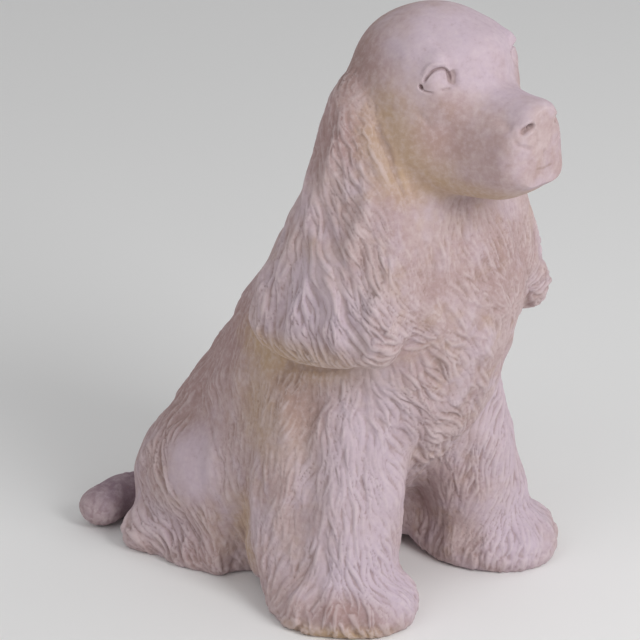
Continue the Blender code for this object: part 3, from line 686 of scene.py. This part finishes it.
def roots_of(skin, comb, on_ear, scale, stretch, dice):
    """Evenly staggered roots, further apart along the fur than across it."""
    chosen = dice.choice(len(skin.places), len(skin.places) // ROOT_THINNING, replace=False)
    chosen = chosen[skin.facing[chosen, 2] > UNDERSIDE[0]]
    flow, sizes = comb.at(skin.places[chosen], on_ear[chosen], 1)
    flow /= np.maximum(np.linalg.norm(flow, axis=1, keepdims=True), 1e-9)
    along, across = ROOT_SPACING
    taken, rooted = {}, []
    keys = np.floor(skin.places[chosen] / (ROOT_CELL * scale * stretch)).astype(int)
    for row, place in enumerate(skin.places[chosen]):
        if sizes[row, 0] < LEAST_DEPTH:
            continue
        x, y, z = keys[row].tolist()
        around = [p for i in (x - 1, x, x + 1) for j in (y - 1, y, y + 1) for k in (z - 1, z, z + 1)
                  for p in taken.get((i, j, k), ())]
        if around:
            gaps = np.array(around) - place
            run = gaps @ flow[row]
            wide = np.sqrt(np.maximum((gaps**2).sum(1) - run**2, 0))
            span = sizes[row, 1] * scale * stretch * along
            if ((run / span) ** 2 + (wide / (sizes[row, 2] * scale * across)) ** 2).min() < 1:
                continue
        taken.setdefault((x, y, z), []).append(place)
        rooted.append(row)
    return chosen[rooted], sizes[rooted]


def trace(skin, comb, roots, on_ear, lengths, wave_length, wave_angle, seed):
    """Lines that run down the fur from their roots, swaying together."""
    place, normal = roots.copy(), skin.snap(roots)[1]
    lines = [place]
    phase = drift(roots, WAVE_SPANS, seed) * WAVE_DRIFT
    step = (lengths / STRAND_STEPS)[:, None]
    for number in range(STRAND_STEPS):
        flow = comb.at(place, on_ear)[0]
        flow = flow - normal * (flow * normal).sum(1, keepdims=True)
        flow /= np.maximum(np.linalg.norm(flow, axis=1, keepdims=True), 1e-9)
        side = np.cross(normal, flow)
        sway = wave_angle * np.sin(2 * np.pi * number * step[:, 0] / wave_length + phase)[:, None]
        place, normal = skin.snap(place + (flow * np.cos(sway) + side * np.sin(sway)) * step)
        lines.append(place)
    return np.stack(lines, 1), normal


def strand_width(run):
    """Width of a strand along its length: slim at the root, full before the middle, pointed at the end."""
    return (0.25 + 0.75 * ease(run, 0, 0.3)) * (1 - 0.8 * ease(run, 0.45, 1))


def strand_crest(run, across):
    """Height of a strand: round across, rising from the root and falling towards the end."""
    return (1 - across**2) ** 0.6 * (0.6 + 0.4 * ease(run, 0, 0.4)) * (1 - 0.4 * ease(run, 0.8, 1))


def comb_and_carve(skin, comb, on_ear, scale, form, seed):
    """Relief of strands laid all over the skin from the ground up, with a groove round each."""
    stretch, wave_length, wave_angle = form
    dice = np.random.default_rng(seed)
    roots, sizes = roots_of(skin, comb, on_ear, scale, stretch, dice)
    stray = dice.uniform(-OVERLAP_STRAY, OVERLAP_STRAY, len(roots)) * MM * scale
    order = np.argsort(skin.places[roots, 2] + stray)
    roots, sizes = roots[order], sizes[order]
    lengths = sizes[:, 1] * scale * stretch * dice.uniform(*STRAND_LENGTHS, len(roots))
    widths = sizes[:, 2] * scale * dice.uniform(*STRAND_WIDTHS, len(roots))
    heights = dice.uniform(*STRAND_HEIGHTS, len(roots))
    lines, up = trace(skin, comb, skin.places[roots], on_ear[roots], lengths,
                      wave_length * MM, wave_angle, seed)
    relief = np.zeros(len(skin.places))
    for line, normal, width, height in zip(lines, up, widths, heights):
        near, run, gap = skin.beside(line, normal, width / 2)
        if not len(near):
            continue
        across = gap / (width / 2 * strand_width(run))
        held = across < 1
        near, run, across = near[held], run[held], across[held]
        relief[near] += (strand_crest(run, across) * height - relief[near]) * ease(run, 0, 0.15)
    return relief


def keep(mesh, name, values):
    """Stores a value for each point of a mesh, for a later step or for the stone's colour."""
    layer = mesh.attributes.get(name) or mesh.attributes.new(name, "FLOAT", "POINT")
    layer.data.foreach_set("value", values.astype(np.float32))


def kept(mesh, name):
    return read(mesh.attributes[name].data, "value").astype(float)


def soften_part(values, edges, chosen, passes, strength):
    """Evens values out over chosen points alone, with a strength for each point of the skin."""
    rows = np.nonzero(chosen)[0]
    number = np.full(len(chosen), -1)
    number[rows] = np.arange(len(rows))
    a, b = number[edges[0]], number[edges[1]]
    both = (a >= 0) & (b >= 0)
    a, b = a[both], b[both]
    degree = np.bincount(a, minlength=len(rows)) + np.bincount(b, minlength=len(rows))
    values = values.copy()
    values[rows] = soften(values[rows], (a, b), np.maximum(degree, 1).astype(float), passes, strength[rows])
    return values


def refine(clay, places):
    """Splits the faces within the rings round the eyes and the nose."""
    near = np.zeros(len(places), bool)
    for *centre, radius in FINE_RINGS:
        for place in both_sides(centre):
            near |= np.linalg.norm(places - np.array(place) * MM, axis=1) < radius * MM
    bm = bmesh.new()
    bm.from_mesh(clay.data)
    bm.verts.ensure_lookup_table()
    edges = [e for e in bm.edges if near[e.verts[0].index] and near[e.verts[1].index]]
    bmesh.ops.subdivide_edges(bm, edges=edges, cuts=1, use_grid_fill=True)
    bm.to_mesh(clay.data)
    bm.free()


def mound(skin, push, centre, radii, height):
    """Raises a soft swelling, or sinks a soft hollow where height is negative."""
    far = (skin.places - np.array(centre) * MM) / (np.array(radii) * MM)
    push += height * MM * np.exp(-(far**2).sum(1) / 2)


# Shader


class Value:
    """A shader socket, or a number, that adds Math nodes when it is used in sums and products."""

    def __init__(self, maker, socket):
        self.maker, self.socket = maker, socket

    def math(self, operation, *others):
        return self.maker.node("ShaderNodeMath", {"operation": operation}, [self, *others])

    def __add__(self, other):
        return self.math("ADD", other)

    def __sub__(self, other):
        return self.math("SUBTRACT", other)

    def __mul__(self, other):
        return self.math("MULTIPLY", other)

    def __rsub__(self, other):
        return self.maker.node("ShaderNodeMath", {"operation": "SUBTRACT"}, [other, self])

    __radd__ = __add__

    def between(self, low, high):
        """0 at low, 1 at high, with a smooth step between them."""
        inputs = {"Value": self, "From Min": low, "From Max": high}
        return self.maker.node("ShaderNodeMapRange", {"interpolation_type": "SMOOTHSTEP"}, inputs)


class Finish:
    """A procedural material, and the nodes that its pattern is made of."""

    def __init__(self, name):
        self.material = bpy.data.materials.new(name)
        self.material.use_nodes = True
        self.tree = self.material.node_tree
        self.shader = self.tree.nodes["Principled BSDF"]
        self.place = self.node("ShaderNodeTexCoord", output="Object")
        self.x, self.y, self.z = (self.node("ShaderNodeSeparateXYZ", {}, [self.place], output=axis)
                                  for axis in "XYZ")

    def node(self, kind, settings=None, inputs=(), output=0):
        """Adds a node: its settings first, then values or links for its sockets."""
        node = self.tree.nodes.new(kind)
        for key, value in (settings or {}).items():
            setattr(node, key, value)
        for key, value in inputs.items() if isinstance(inputs, dict) else enumerate(inputs):
            if isinstance(value, Value):
                self.tree.links.new(value.socket, node.inputs[key])
            else:
                node.inputs[key].default_value = value
        return Value(self, node.outputs[output])

    def noise(self, size, detail, roughness):
        """Noise whose lumps are about this many millimetres across."""
        inputs = {"Vector": self.place, "Scale": 1 / (size * MM), "Detail": detail, "Roughness": roughness}
        return self.node("ShaderNodeTexNoise", None, inputs)

    def vector(self, operation, first, millimetres):
        second = [v * MM for v in millimetres]
        return self.node("ShaderNodeVectorMath", {"operation": operation}, [first, second])

    def mix(self, share, first, second):
        """Colours mixed by share, from 0 for the first to 1 for the second."""
        inputs = {0: share, 6: first, 7: (*second, 1)}
        return self.node("ShaderNodeMix", {"data_type": "RGBA"}, inputs, output=2)

    def layer(self, colour, pattern, low, high, share, over):
        """Lays a share of one colour over another where a pattern goes from low to high."""
        return self.mix(pattern.between(low, high) * share, colour, over)

    def set(self, **inputs):
        for key, value in inputs.items():
            socket = self.shader.inputs[key.replace("_", " ")]
            if isinstance(value, Value):
                self.tree.links.new(value.socket, socket)
            else:
                socket.default_value = value


def cast_stone(settings, carved):
    """Cast stone, mottled at random, with light and shade painted over it in places, painted shade in its
    grooves, painted light and wear on its crests, specks of dust and wear, and a grain of sand.
    """
    stone = Finish("cast stone" if carved else "cast stone plug")
    blotch, cloud = stone.noise(34, 4, 0.6), stone.noise(12, 5, 0.62)
    speck, grain = stone.noise(5, 4, 0.65), stone.noise(1.1, 3, 0.7)
    colour = stone.mix(blotch.between(0.32, 0.68) * 0.55 + 0.4, (*settings.mauve, 1), settings.body)
    colour = stone.layer(colour, stone.noise(25, 4, 0.6), 0.44, 0.68, 0.5, settings.lilac)
    colour = stone.layer(colour, stone.noise(19, 5, 0.6), 0.5, 0.72, 0.28, settings.ochre)
    mirrored = stone.node("ShaderNodeCombineXYZ", {}, [stone.x.math("ABSOLUTE"), stone.y, stone.z])
    # Painted light and shade, laid over the mottled colour in the places of the table
    for tint, centre, radii, share in TINTS:
        offset = stone.vector("SUBTRACT", stone.place if centre[0] < 0 else mirrored, centre)
        scaled = stone.vector("DIVIDE", offset, radii)
        far = stone.node("ShaderNodeVectorMath", {"operation": "LENGTH"}, [scaled], output="Value")
        colour = stone.layer(colour, far + (cloud - 0.5) * 0.8, *TINT_EDGE, share, getattr(settings, tint))
    if carved:
        # Painted shade in the grooves, where the skin sinks below its neighbours
        hollow = stone.node("ShaderNodeAttribute", {"attribute_name": "hollow"}, output="Fac")
        colour = stone.layer(colour, hollow, 0.5, 1, 0.5, settings.dust_and_shade)
        # Painted light, with wear, on the crests of the strands
        colour = stone.layer(colour, hollow, 0.45, 0.1, 0.3, settings.worn_and_lit)
    colour = stone.layer(colour, speck, 0.4, 0.75, 0.3, settings.worn_and_lit)
    colour = stone.layer(colour, speck, 0.45, 0.25, 0.25, settings.dust_and_shade)
    relief = grain * 0.35 + stone.noise(3.2, 4, 0.6) * 0.5
    bump = stone.node("ShaderNodeBump", {}, {"Strength": settings.grain, "Distance": SAND, "Height": relief})
    stone.set(Base_Color=colour, Roughness=0.82 + cloud * 0.14, Normal=bump, Specular_IOR_Level=0.3)
    return stone.material


def dowel_steel(settings):
    """Drawn steel bar with drawing marks along it and a bloom of rust."""
    steel = Finish("dowel steel")
    rust = steel.noise(6, 5, 0.65).between(0.48, 0.62)
    fine = steel.noise(0.8, 3, 0.6)
    colour = steel.mix(rust, (*settings.steel, 1), settings.rust)
    colour = steel.mix((fine - 0.5) * 0.6 + 0.3, colour, settings.scale)
    bump = steel.node("ShaderNodeBump", {}, {"Strength": 0.4, "Distance": MARKS, "Height": fine + rust * 0.6})
    steel.set(Base_Color=colour, Metallic=1 - rust * 0.85, Roughness=0.38 + rust * 0.45, Normal=bump)
    return steel.material


# Settings


class ClaySettings(PropertyGroup):
    grain: FloatProperty(name="Clay grain", description="Distance between the points of the clay skin",
                         default=0.0011, min=0.0008, unit="LENGTH")
    evening: IntProperty(name="Evening", description="Passes that even out the coarse locks of the castings",
                         default=20, min=0)
    ear_evening: IntProperty(name="Evening on the ears", description="The same on the ears", default=8, min=0)
    hem: IntProperty(name="Hem", description="Passes that round the skin at the ground", default=7, min=0)


class FurSettings(PropertyGroup):
    strand_depth: FloatProperty(name="Strand depth", description="In the combing lines' depths", default=1.45)
    tuft_depth: FloatProperty(name="Tuft depth", description="In the combing lines' depths", default=1.1)
    tuft_scale: FloatProperty(name="Tuft size", description="In the combing lines' sizes", default=2.2)
    strand_scale: FloatProperty(name="Strand size", description="In the combing lines' sizes", default=1.2)
    seed: IntProperty(name="Seed", description="Which of many like coats is carved", default=11)


def swatch(name, description, default):
    return FloatVectorProperty(name=name, description=description, default=default,
                               subtype="COLOR", min=0, max=1)


class StoneSettings(PropertyGroup):
    body: swatch("Stone", "Colour of the cast stone", (0.5, 0.385, 0.385))
    # Darker tone mixed in at random, and painted shade on the back of the skull, the ears, the flanks and
    # rump, below the eyes and on the paws
    mauve: swatch("Mauve", "Darker stone, most at the back", (0.36, 0.238, 0.23))
    # Lilac tone mixed in at random, and painted light on the top of the head and muzzle and on the lit legs,
    # paws and haunches
    lilac: swatch("Lilac", "Bloom where light and rain fall", (0.54, 0.44, 0.515))
    violet: swatch("Violet", "Stone in the shade behind the haunch", (0.25, 0.175, 0.215))
    # Ochre tone mixed in at random, and painted shade warmed by bounce light under the cheeks and chin, below
    # the ears and round the paws
    ochre: swatch("Ochre", "Dirt where rain doesn't reach", (0.44, 0.305, 0.185))
    # Dust specks, and painted shade in the grooves and on the back of the skull
    dust_and_shade: swatch("Grime", "Dust in the grooves", (0.28, 0.19, 0.165))
    # Pale specks of wear, and painted light with wear on the crests of the strands
    worn_and_lit: swatch("Worn", "Rubbed tops of the strands", (0.66, 0.56, 0.57))
    steel: swatch("Steel", "Colour of the dowels", (0.46, 0.45, 0.44))
    rust: swatch("Rust", "Rust on the dowels", (0.2, 0.075, 0.03))
    scale: swatch("Scale", "Dark marks on the dowels", (0.12, 0.07, 0.05))
    grain: FloatProperty(name="Grain", description="How strongly the sand shows", default=0.5)


class StageSettings(PropertyGroup):
    key: FloatProperty(name="Key lamp", description="Lamp in front", default=21, unit="POWER")
    fill: FloatProperty(name="Fill lamp", description="Lamp at the dog's left", default=3, unit="POWER")
    back: FloatProperty(name="Back lamp", description="Lamp at the dog's right", default=5, unit="POWER")
    sky: FloatProperty(name="Sky", description="Strength of the light from all round", default=0.45)
    floor: swatch("Floor", "Colour of the floor", (0.86, 0.86, 0.86))
    mottle: swatch("Mottle", "Faint mottling of the floor", (0.8, 0.8, 0.8))


# Steps


class STATUE_OT_clay(Operator):
    """Melts the castings into one clay skin and evens out their coarse locks"""

    bl_idname = "statue.clay"
    bl_label = "Melt the clay"

    def execute(self, context):
        settings = context.scene.statue_clay
        loose = [fatten(copy_of(name, "part"), BOND) for name in (*CASTINGS, "base_plug")]
        fillers = [ball(name, place, radii)
                   for name, centre, radii in FILLERS for place in both_sides(centre)]
        clay = joined(loose + fillers, "clay")
        apply(clay, "REMESH", "melt", mode="VOXEL", voxel_size=2 * settings.grain)
        places = positions(clay.data)
        on_ear = np.zeros(len(places))
        for name in EARS:
            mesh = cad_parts[name].data
            tree = BVHTree.FromPolygons([v.co for v in mesh.vertices], [f.vertices for f in mesh.polygons])
            low, high = (np.array(corner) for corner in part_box(name))
            for i in np.nonzero(((places > low - EAR_MARGIN) & (places < high + EAR_MARGIN)).all(1))[0]:
                on_ear[i] = tree.find_nearest(places[i])[3] < EAR_SKIN
        tree = tree_of(places)
        edges, degree = links(clay.data)
        body = soften(places, edges, degree, settings.evening)
        crisp = soften(places, edges, degree, settings.ear_evening)
        crisp_share = np.maximum(on_ear, ease(-places[:, 1], *MUZZLE))
        share = soften(crisp_share, edges, degree, CRISP_PASSES)[:, None]
        places = body * (1 - share) + crisp * share
        face = np.zeros(len(places))
        for centre, radii in EVEN_FACE:
            for place in both_sides(centre):
                face = np.maximum(face, inside(places, place, radii, 0.3))
        places = soften_part(places, edges, face > 0, EVEN_FACE_PASSES, face * 0.5)
        move_to(clay.data, places)
        apply(clay, "REMESH", "melt again", mode="VOXEL", voxel_size=settings.grain)
        edges, degree = links(clay.data)
        places = soften(positions(clay.data), edges, degree, MELT_PASSES)
        places[:, 2] = np.where(places[:, 2] < GROUND, 0, places[:, 2])
        hem = 1 - ease(places[:, 2], *HEM)
        places = soften_part(places, edges, hem > 0, settings.hem, hem * 0.5)
        move_to(clay.data, within_box(places))
        rows = [tree.find(place)[1] for place in places]
        keep(clay.data, "on_ear", soften(on_ear[rows], edges, degree, EAR_PASSES))
        return {"FINISHED"}


class STATUE_OT_face(Operator):
    """Models the eyes, brows, nose and mouth into the clay"""

    bl_idname = "statue.face"
    bl_label = "Model the face"

    def execute(self, context):
        clay = bpy.data.objects["clay"]
        skin = Skin(clay)
        push = np.zeros(len(skin.places))
        for centre, radii, height in MOUNDS:
            for place in both_sides(centre):
                mound(skin, push, place, radii, height)
        move_to(clay.data, skin.places + skin.facing * push[:, None])
        refine(clay, positions(clay.data))
        skin = Skin(clay)
        push = np.zeros(len(skin.places))
        for width, depth, ends, *line in LINES:
            twin = [(-x, y, z) for x, y, z in line]
            crosses_the_middle = not line[0][0] + line[-1][0]
            for points in (line,) if crosses_the_middle else (line, twin):
                incise(skin, push, points, width, depth, ends)
        # How deep the face's lines sink past a first depth, kept for the painted shade in them
        shade_begins, full = GROOVE_SHADE_DEPTH
        keep(clay.data, "line", np.maximum(-push - shade_begins, 0) / full)
        move_to(clay.data, skin.places + skin.facing * push[:, None])
        return {"FINISHED"}


class STATUE_OT_fur(Operator):
    """Combs tufts and strands of fur into the clay"""

    bl_idname = "statue.fur"
    bl_label = "Carve the fur"

    def execute(self, context):
        settings = context.scene.statue_fur
        clay = bpy.data.objects["clay"]
        skin = Skin(clay)
        on_ear = kept(clay.data, "on_ear") > 0.5
        edges, degree = links(clay.data)
        comb = Comb(skin.places, on_ear)
        tufts = comb_and_carve(skin, comb, on_ear, settings.tuft_scale, TUFT_FORM, settings.seed)
        strands = comb_and_carve(skin, comb, on_ear, settings.strand_scale, STRAND_FORM, settings.seed + 1)
        depth = soften(comb.at(skin.places, on_ear, 1)[1][:, 0], edges, degree, DEPTH_PASSES)
        for mirrored, centre, radii, share in BARE:
            for place in both_sides(centre) if mirrored else (centre,):
                depth *= 1 - (1 - share) * inside(skin.places, place, radii)
        patches = drift(skin.places, PATCH_SPANS, settings.seed + 2)
        depth *= PATCH_DEPTH + PATCH_RISE * ease(patches, *PATCH_EDGE)
        depth *= skin.facing[:, 2] > UNDERSIDE[1]
        depth = soften(depth, edges, degree, PATCH_PASSES)
        hem = (1 - ease(skin.places[:, 2], *FUR_HEM)) * depth
        strands = soften(strands, edges, degree, *STRAND_PASSES) - RELIEF_MIDDLE
        tufts = soften(tufts, edges, degree, TUFT_PASSES) - RELIEF_MIDDLE
        push = depth * settings.strand_depth * strands + (depth + hem) * settings.tuft_depth * tufts
        places = within_box(skin.places + skin.facing * push[:, None])
        move_to(clay.data, places)
        # Lift of each point over its softened neighbours: the stone paints shade where the skin sinks and
        # light where it stands out
        lift = ((places - soften(places, edges, degree, LIFT_PASSES)) * normals(clay.data)).sum(1)
        keep(clay.data, "hollow", np.clip(0.5 - lift / CARVING + kept(clay.data, "line"), 0, 1))
        whole = clay.copy()
        whole.data = clay.data.copy()
        named(whole, "whole clay")
        return {"FINISHED"}


def box_cutter(low, high):
    """A block between two corners in millimetres, with a mirrored twin where it lies to one side."""
    blocks = []
    for side in (1, -1) if low[0] > 0 else (1,):
        bpy.ops.object.select_all(action="DESELECT")
        middle = [(a + b) / 2 * MM for a, b in zip(low, high)]
        bpy.ops.mesh.primitive_cube_add(size=1, location=(side * middle[0], *middle[1:]))
        block = bpy.context.object
        block.scale = [(b - a) * MM for a, b in zip(low, high)]
        bpy.ops.object.transform_apply(location=True, rotation=True, scale=True)
        blocks.append(block)
    return joined(blocks, "cutter")


def grown(names, distance):
    """A cutter a little larger than these castings all round."""
    cutter = joined([fatten(copy_of(name, "part"), distance) for name in names], "cutter")
    return apply(cutter, "REMESH", "melt", mode="VOXEL", voxel_size=CUTTER_GRAIN)


def cut_off(cutter):
    """Parts the clay with a cutter: what is inside becomes a piece, and the clay keeps the rest."""
    clay = bpy.data.objects["clay"]
    piece = clay.copy()
    piece.data = clay.data.copy()
    bpy.context.scene.collection.objects.link(piece)
    apply(piece, "BOOLEAN", "take", operation="INTERSECT", solver="MANIFOLD", object=cutter)
    hollow_out(clay, cutter)
    return piece


def hollow_out(clay, cutter):
    """Takes a cutter's form out of the clay, and throws the cutter away."""
    apply(clay, "BOOLEAN", "leave", operation="DIFFERENCE", solver="MANIFOLD", object=cutter)
    bpy.data.objects.remove(cutter)


def parted(piece, name):
    """The two pieces of a mirrored pair, named for the dog's own sides."""
    only(piece)
    bpy.ops.object.mode_set(mode="EDIT")
    bpy.ops.mesh.select_all(action="SELECT")
    bpy.ops.mesh.separate(type="LOOSE")
    bpy.ops.object.mode_set(mode="OBJECT")
    halves = {"left": [], "right": []}
    for half in bpy.context.selected_objects:
        middle = positions(half.data)[:, 0].mean()
        halves["left" if middle > 0 else "right"].append(half)
    return [joined(found, f"{side}_{name}") for side, found in halves.items()]


def finished(piece, node):
    """Smooths a piece, gives it its stone, hangs it on the root, and hides the casting it stands for."""
    piece.data.materials.clear()
    piece.data.materials.append(bpy.data.materials["cast stone"])
    only(piece)
    bpy.ops.object.shade_smooth()
    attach(piece, "root")
    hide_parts(node)


def part_pair(cutter, name):
    for piece in parted(cut_off(cutter), name):
        finished(piece, f"{piece.name}_casting")


def part_one(cutter, name, node):
    finished(named(cut_off(cutter), name), node)


class STATUE_OT_stone(Operator):
    """Mixes the cast stone, and gives the base plug and the dowels their finish"""

    bl_idname = "statue.stone"
    bl_label = "Mix the stone"

    def execute(self, context):
        settings = context.scene.statue_stone
        cast_stone(settings, True)
        plug = cast_stone(settings, False)
        steel = dowel_steel(settings)
        for name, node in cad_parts.items():
            if name not in CASTINGS:
                for row in range(len(node.material_slots)):
                    node.material_slots[row].material = plug if name == "base_plug" else steel
        return {"FINISHED"}


class STATUE_OT_ears(Operator):
    """Parts the two ears from the clay"""

    bl_idname = "statue.ears"
    bl_label = "Part the ears"

    def execute(self, context):
        part_pair(grown(EARS, EAR_REACH), "ear")
        return {"FINISHED"}


class STATUE_OT_head(Operator):
    """Parts the head and upper neck from the clay"""

    bl_idname = "statue.head"
    bl_label = "Part the head"

    def execute(self, context):
        part_one(box_cutter(*HEAD_BLOCK), "head", "head_casting")
        return {"FINISHED"}


class STATUE_OT_forelegs(Operator):
    """Parts the two forelegs from the clay"""

    bl_idname = "statue.forelegs"
    bl_label = "Part the forelegs"

    def execute(self, context):
        part_pair(box_cutter(*FORELEG_BLOCK), "foreleg")
        return {"FINISHED"}


class STATUE_OT_haunches(Operator):
    """Parts the two haunches from the clay"""

    bl_idname = "statue.haunches"
    bl_label = "Part the haunches"

    def execute(self, context):
        part_pair(box_cutter(*HAUNCH_BLOCK), "haunch")
        return {"FINISHED"}


class STATUE_OT_tail(Operator):
    """Parts the tail from the clay"""

    bl_idname = "statue.tail"
    bl_label = "Part the tail"

    def execute(self, context):
        part_one(grown(["tail_casting"], TAIL_REACH), "tail", "tail_casting")
        return {"FINISHED"}


class STATUE_OT_chest(Operator):
    """Parts the chest from the back, which are one casting but two pieces of skin"""

    bl_idname = "statue.chest"
    bl_label = "Part the chest"

    def execute(self, context):
        part_one(box_cutter(*CHEST_BLOCK), "chest", "torso_casting")
        return {"FINISHED"}


class STATUE_OT_back(Operator):
    """Hollows the rest of the clay for its core and seats the base plug in it"""

    bl_idname = "statue.back"
    bl_label = "Finish the back"

    def execute(self, context):
        clay = bpy.data.objects["clay"]
        hollow_out(clay, placed(bpy.ops.mesh.primitive_cylinder_add, "seat", *SEAT, vertices=96, depth=2))
        hollow_out(clay, ball("core", *CORE, segments=64))
        finished(named(clay, "back"), "torso_casting")
        return {"FINISHED"}


class STATUE_OT_dress(Operator):
    """Gives every parted piece the shading and the grooves of the whole clay, so that no seam shows"""

    bl_idname = "statue.dress"
    bl_label = "Dress the seams"

    def execute(self, context):
        whole = bpy.data.objects["whole clay"]
        places, facing, hollow = positions(whole.data), normals(whole.data), kept(whole.data, "hollow")
        tree = tree_of(places)
        for name in PIECES:
            mesh = bpy.data.objects[name].data
            found = [tree.find(place) for place in positions(mesh)]
            rows = np.array([f[1] for f in found])
            on_skin = np.array([f[2] for f in found]) < DRESS_REACH
            keep(mesh, "hollow", np.where(on_skin, hollow[rows], 0.5))
            corner = read(mesh.loops, "vertex_index", 1, np.int32)
            sizes = read(mesh.polygons, "loop_total", 1, np.int32)
            faces = np.repeat(read(mesh.polygons, "normal", 3).astype(float), sizes, axis=0)
            given = facing[rows[corner]]
            smooth = on_skin[corner] & ((given * faces).sum(1) > SAME_WAY)
            mesh.normals_split_custom_set(np.where(smooth[:, None], given, faces))
        bpy.data.objects.remove(whole)
        return {"FINISHED"}


class STATUE_OT_stage(Operator):
    """Sets the floor, the sky, the lamps and the camera"""

    bl_idname = "statue.stage"
    bl_label = "Set the stage"

    def execute(self, context):
        settings = context.scene.statue_stage
        scene = context.scene
        scene.view_settings.view_transform = "Standard"
        bpy.ops.object.select_all(action="DESELECT")
        bpy.ops.mesh.primitive_plane_add(size=FLOOR_SIZE, location=(0, 0, FLOOR_LEVEL))
        floor = named(context.object, "floor")
        bpy.ops.object.transform_apply(location=True, rotation=True, scale=True)
        paper = Finish("floor paper")
        mottle = paper.noise(60, 3, 0.5) * 0.02
        paper.set(Base_Color=paper.mix(mottle, (*settings.floor, 1), settings.mottle), Roughness=0.95)
        floor.data.materials.append(paper.material)

        world = bpy.data.worlds.new("studio")
        scene.world = world
        world.use_nodes = True
        tree = world.node_tree
        light, output = tree.nodes["Background"], tree.nodes["World Output"]
        seen, path, most, any_ray, both = (tree.nodes.new(f"ShaderNode{kind}") for kind in
                                           ("Background", "LightPath", "Math", "Math", "MixShader"))
        for node, strength in ((light, settings.sky), (seen, 1)):
            node.inputs["Color"].default_value = (1, 1, 1, 1)
            node.inputs["Strength"].default_value = strength
        most.operation = any_ray.operation = "MAXIMUM"
        for start, end in (
            (path.outputs["Is Camera Ray"], most.inputs[0]),
            (path.outputs["Is Glossy Ray"], most.inputs[1]),
            (most.outputs[0], any_ray.inputs[0]),
            (path.outputs["Is Transmission Ray"], any_ray.inputs[1]),
            (any_ray.outputs[0], both.inputs[0]),
            (light.outputs[0], both.inputs[1]),
            (seen.outputs[0], both.inputs[2]),
            (both.outputs[0], output.inputs["Surface"]),
        ):
            tree.links.new(start, end)

        for name, place, size, power in (
            ("key", (-0.1, -1.75, 1.25), 0.9, settings.key),
            ("fill", (1.5, -0.6, 1.2), 1.2, settings.fill),
            ("back", (-1.8, -0.1, 1.2), 1.2, settings.back),
        ):
            bpy.ops.object.light_add(type="AREA", location=place)
            lamp = named(context.object, name)
            lamp.data.energy, lamp.data.size = power, size
            lamp.rotation_euler = (LAMP_TARGET - Vector(place)).to_track_quat("-Z", "Y").to_euler()

        turn, tilt = math.radians(CAMERA_AZIMUTH), math.radians(CAMERA_ELEVATION)
        back = Vector((math.sin(turn) * math.cos(tilt), -math.cos(turn) * math.cos(tilt), math.sin(tilt)))
        bpy.ops.object.camera_add(location=CAMERA_TARGET + back * CAMERA_DISTANCE)
        camera = context.object
        camera.rotation_euler = back.to_track_quat("Z", "Y").to_euler()
        camera.data.lens = CAMERA_LENS
        camera.data.clip_start = 0.05
        scene.camera = camera
        return {"FINISHED"}


STEPS = (
    STATUE_OT_clay,
    STATUE_OT_face,
    STATUE_OT_fur,
    STATUE_OT_stone,
    STATUE_OT_ears,
    STATUE_OT_head,
    STATUE_OT_forelegs,
    STATUE_OT_haunches,
    STATUE_OT_tail,
    STATUE_OT_chest,
    STATUE_OT_back,
    STATUE_OT_dress,
    STATUE_OT_stage,
)
SETTINGS = {
    "statue_clay": ClaySettings,
    "statue_fur": FurSettings,
    "statue_stone": StoneSettings,
    "statue_stage": StageSettings,
}


class STATUE_PT_panel(Panel):
    """The statue's steps in their order, and its settings"""

    bl_label = "Statue"
    bl_idname = "STATUE_PT_panel"
    bl_space_type = "VIEW_3D"
    bl_region_type = "UI"
    bl_category = "Statue"

    def draw(self, context):
        for step in STEPS:
            self.layout.operator(step.bl_idname)
        for name, kind in SETTINGS.items():
            box = self.layout.box()
            for field in kind.__annotations__:
                box.prop(getattr(context.scene, name), field)


def register():
    for kind in (*SETTINGS.values(), *STEPS, STATUE_PT_panel):
        bpy.utils.register_class(kind)
    for name, kind in SETTINGS.items():
        setattr(bpy.types.Scene, name, PointerProperty(type=kind))


def unregister():
    for name in SETTINGS:
        delattr(bpy.types.Scene, name)
    for kind in reversed((*SETTINGS.values(), *STEPS, STATUE_PT_panel)):
        bpy.utils.unregister_class(kind)


def main():
    register()
    bpy.ops.object.select_all(action="DESELECT")
    for step in STEPS:
        getattr(bpy.ops.statue, step.bl_idname.removeprefix("statue."))()


if __name__ == "__main__":
    main()
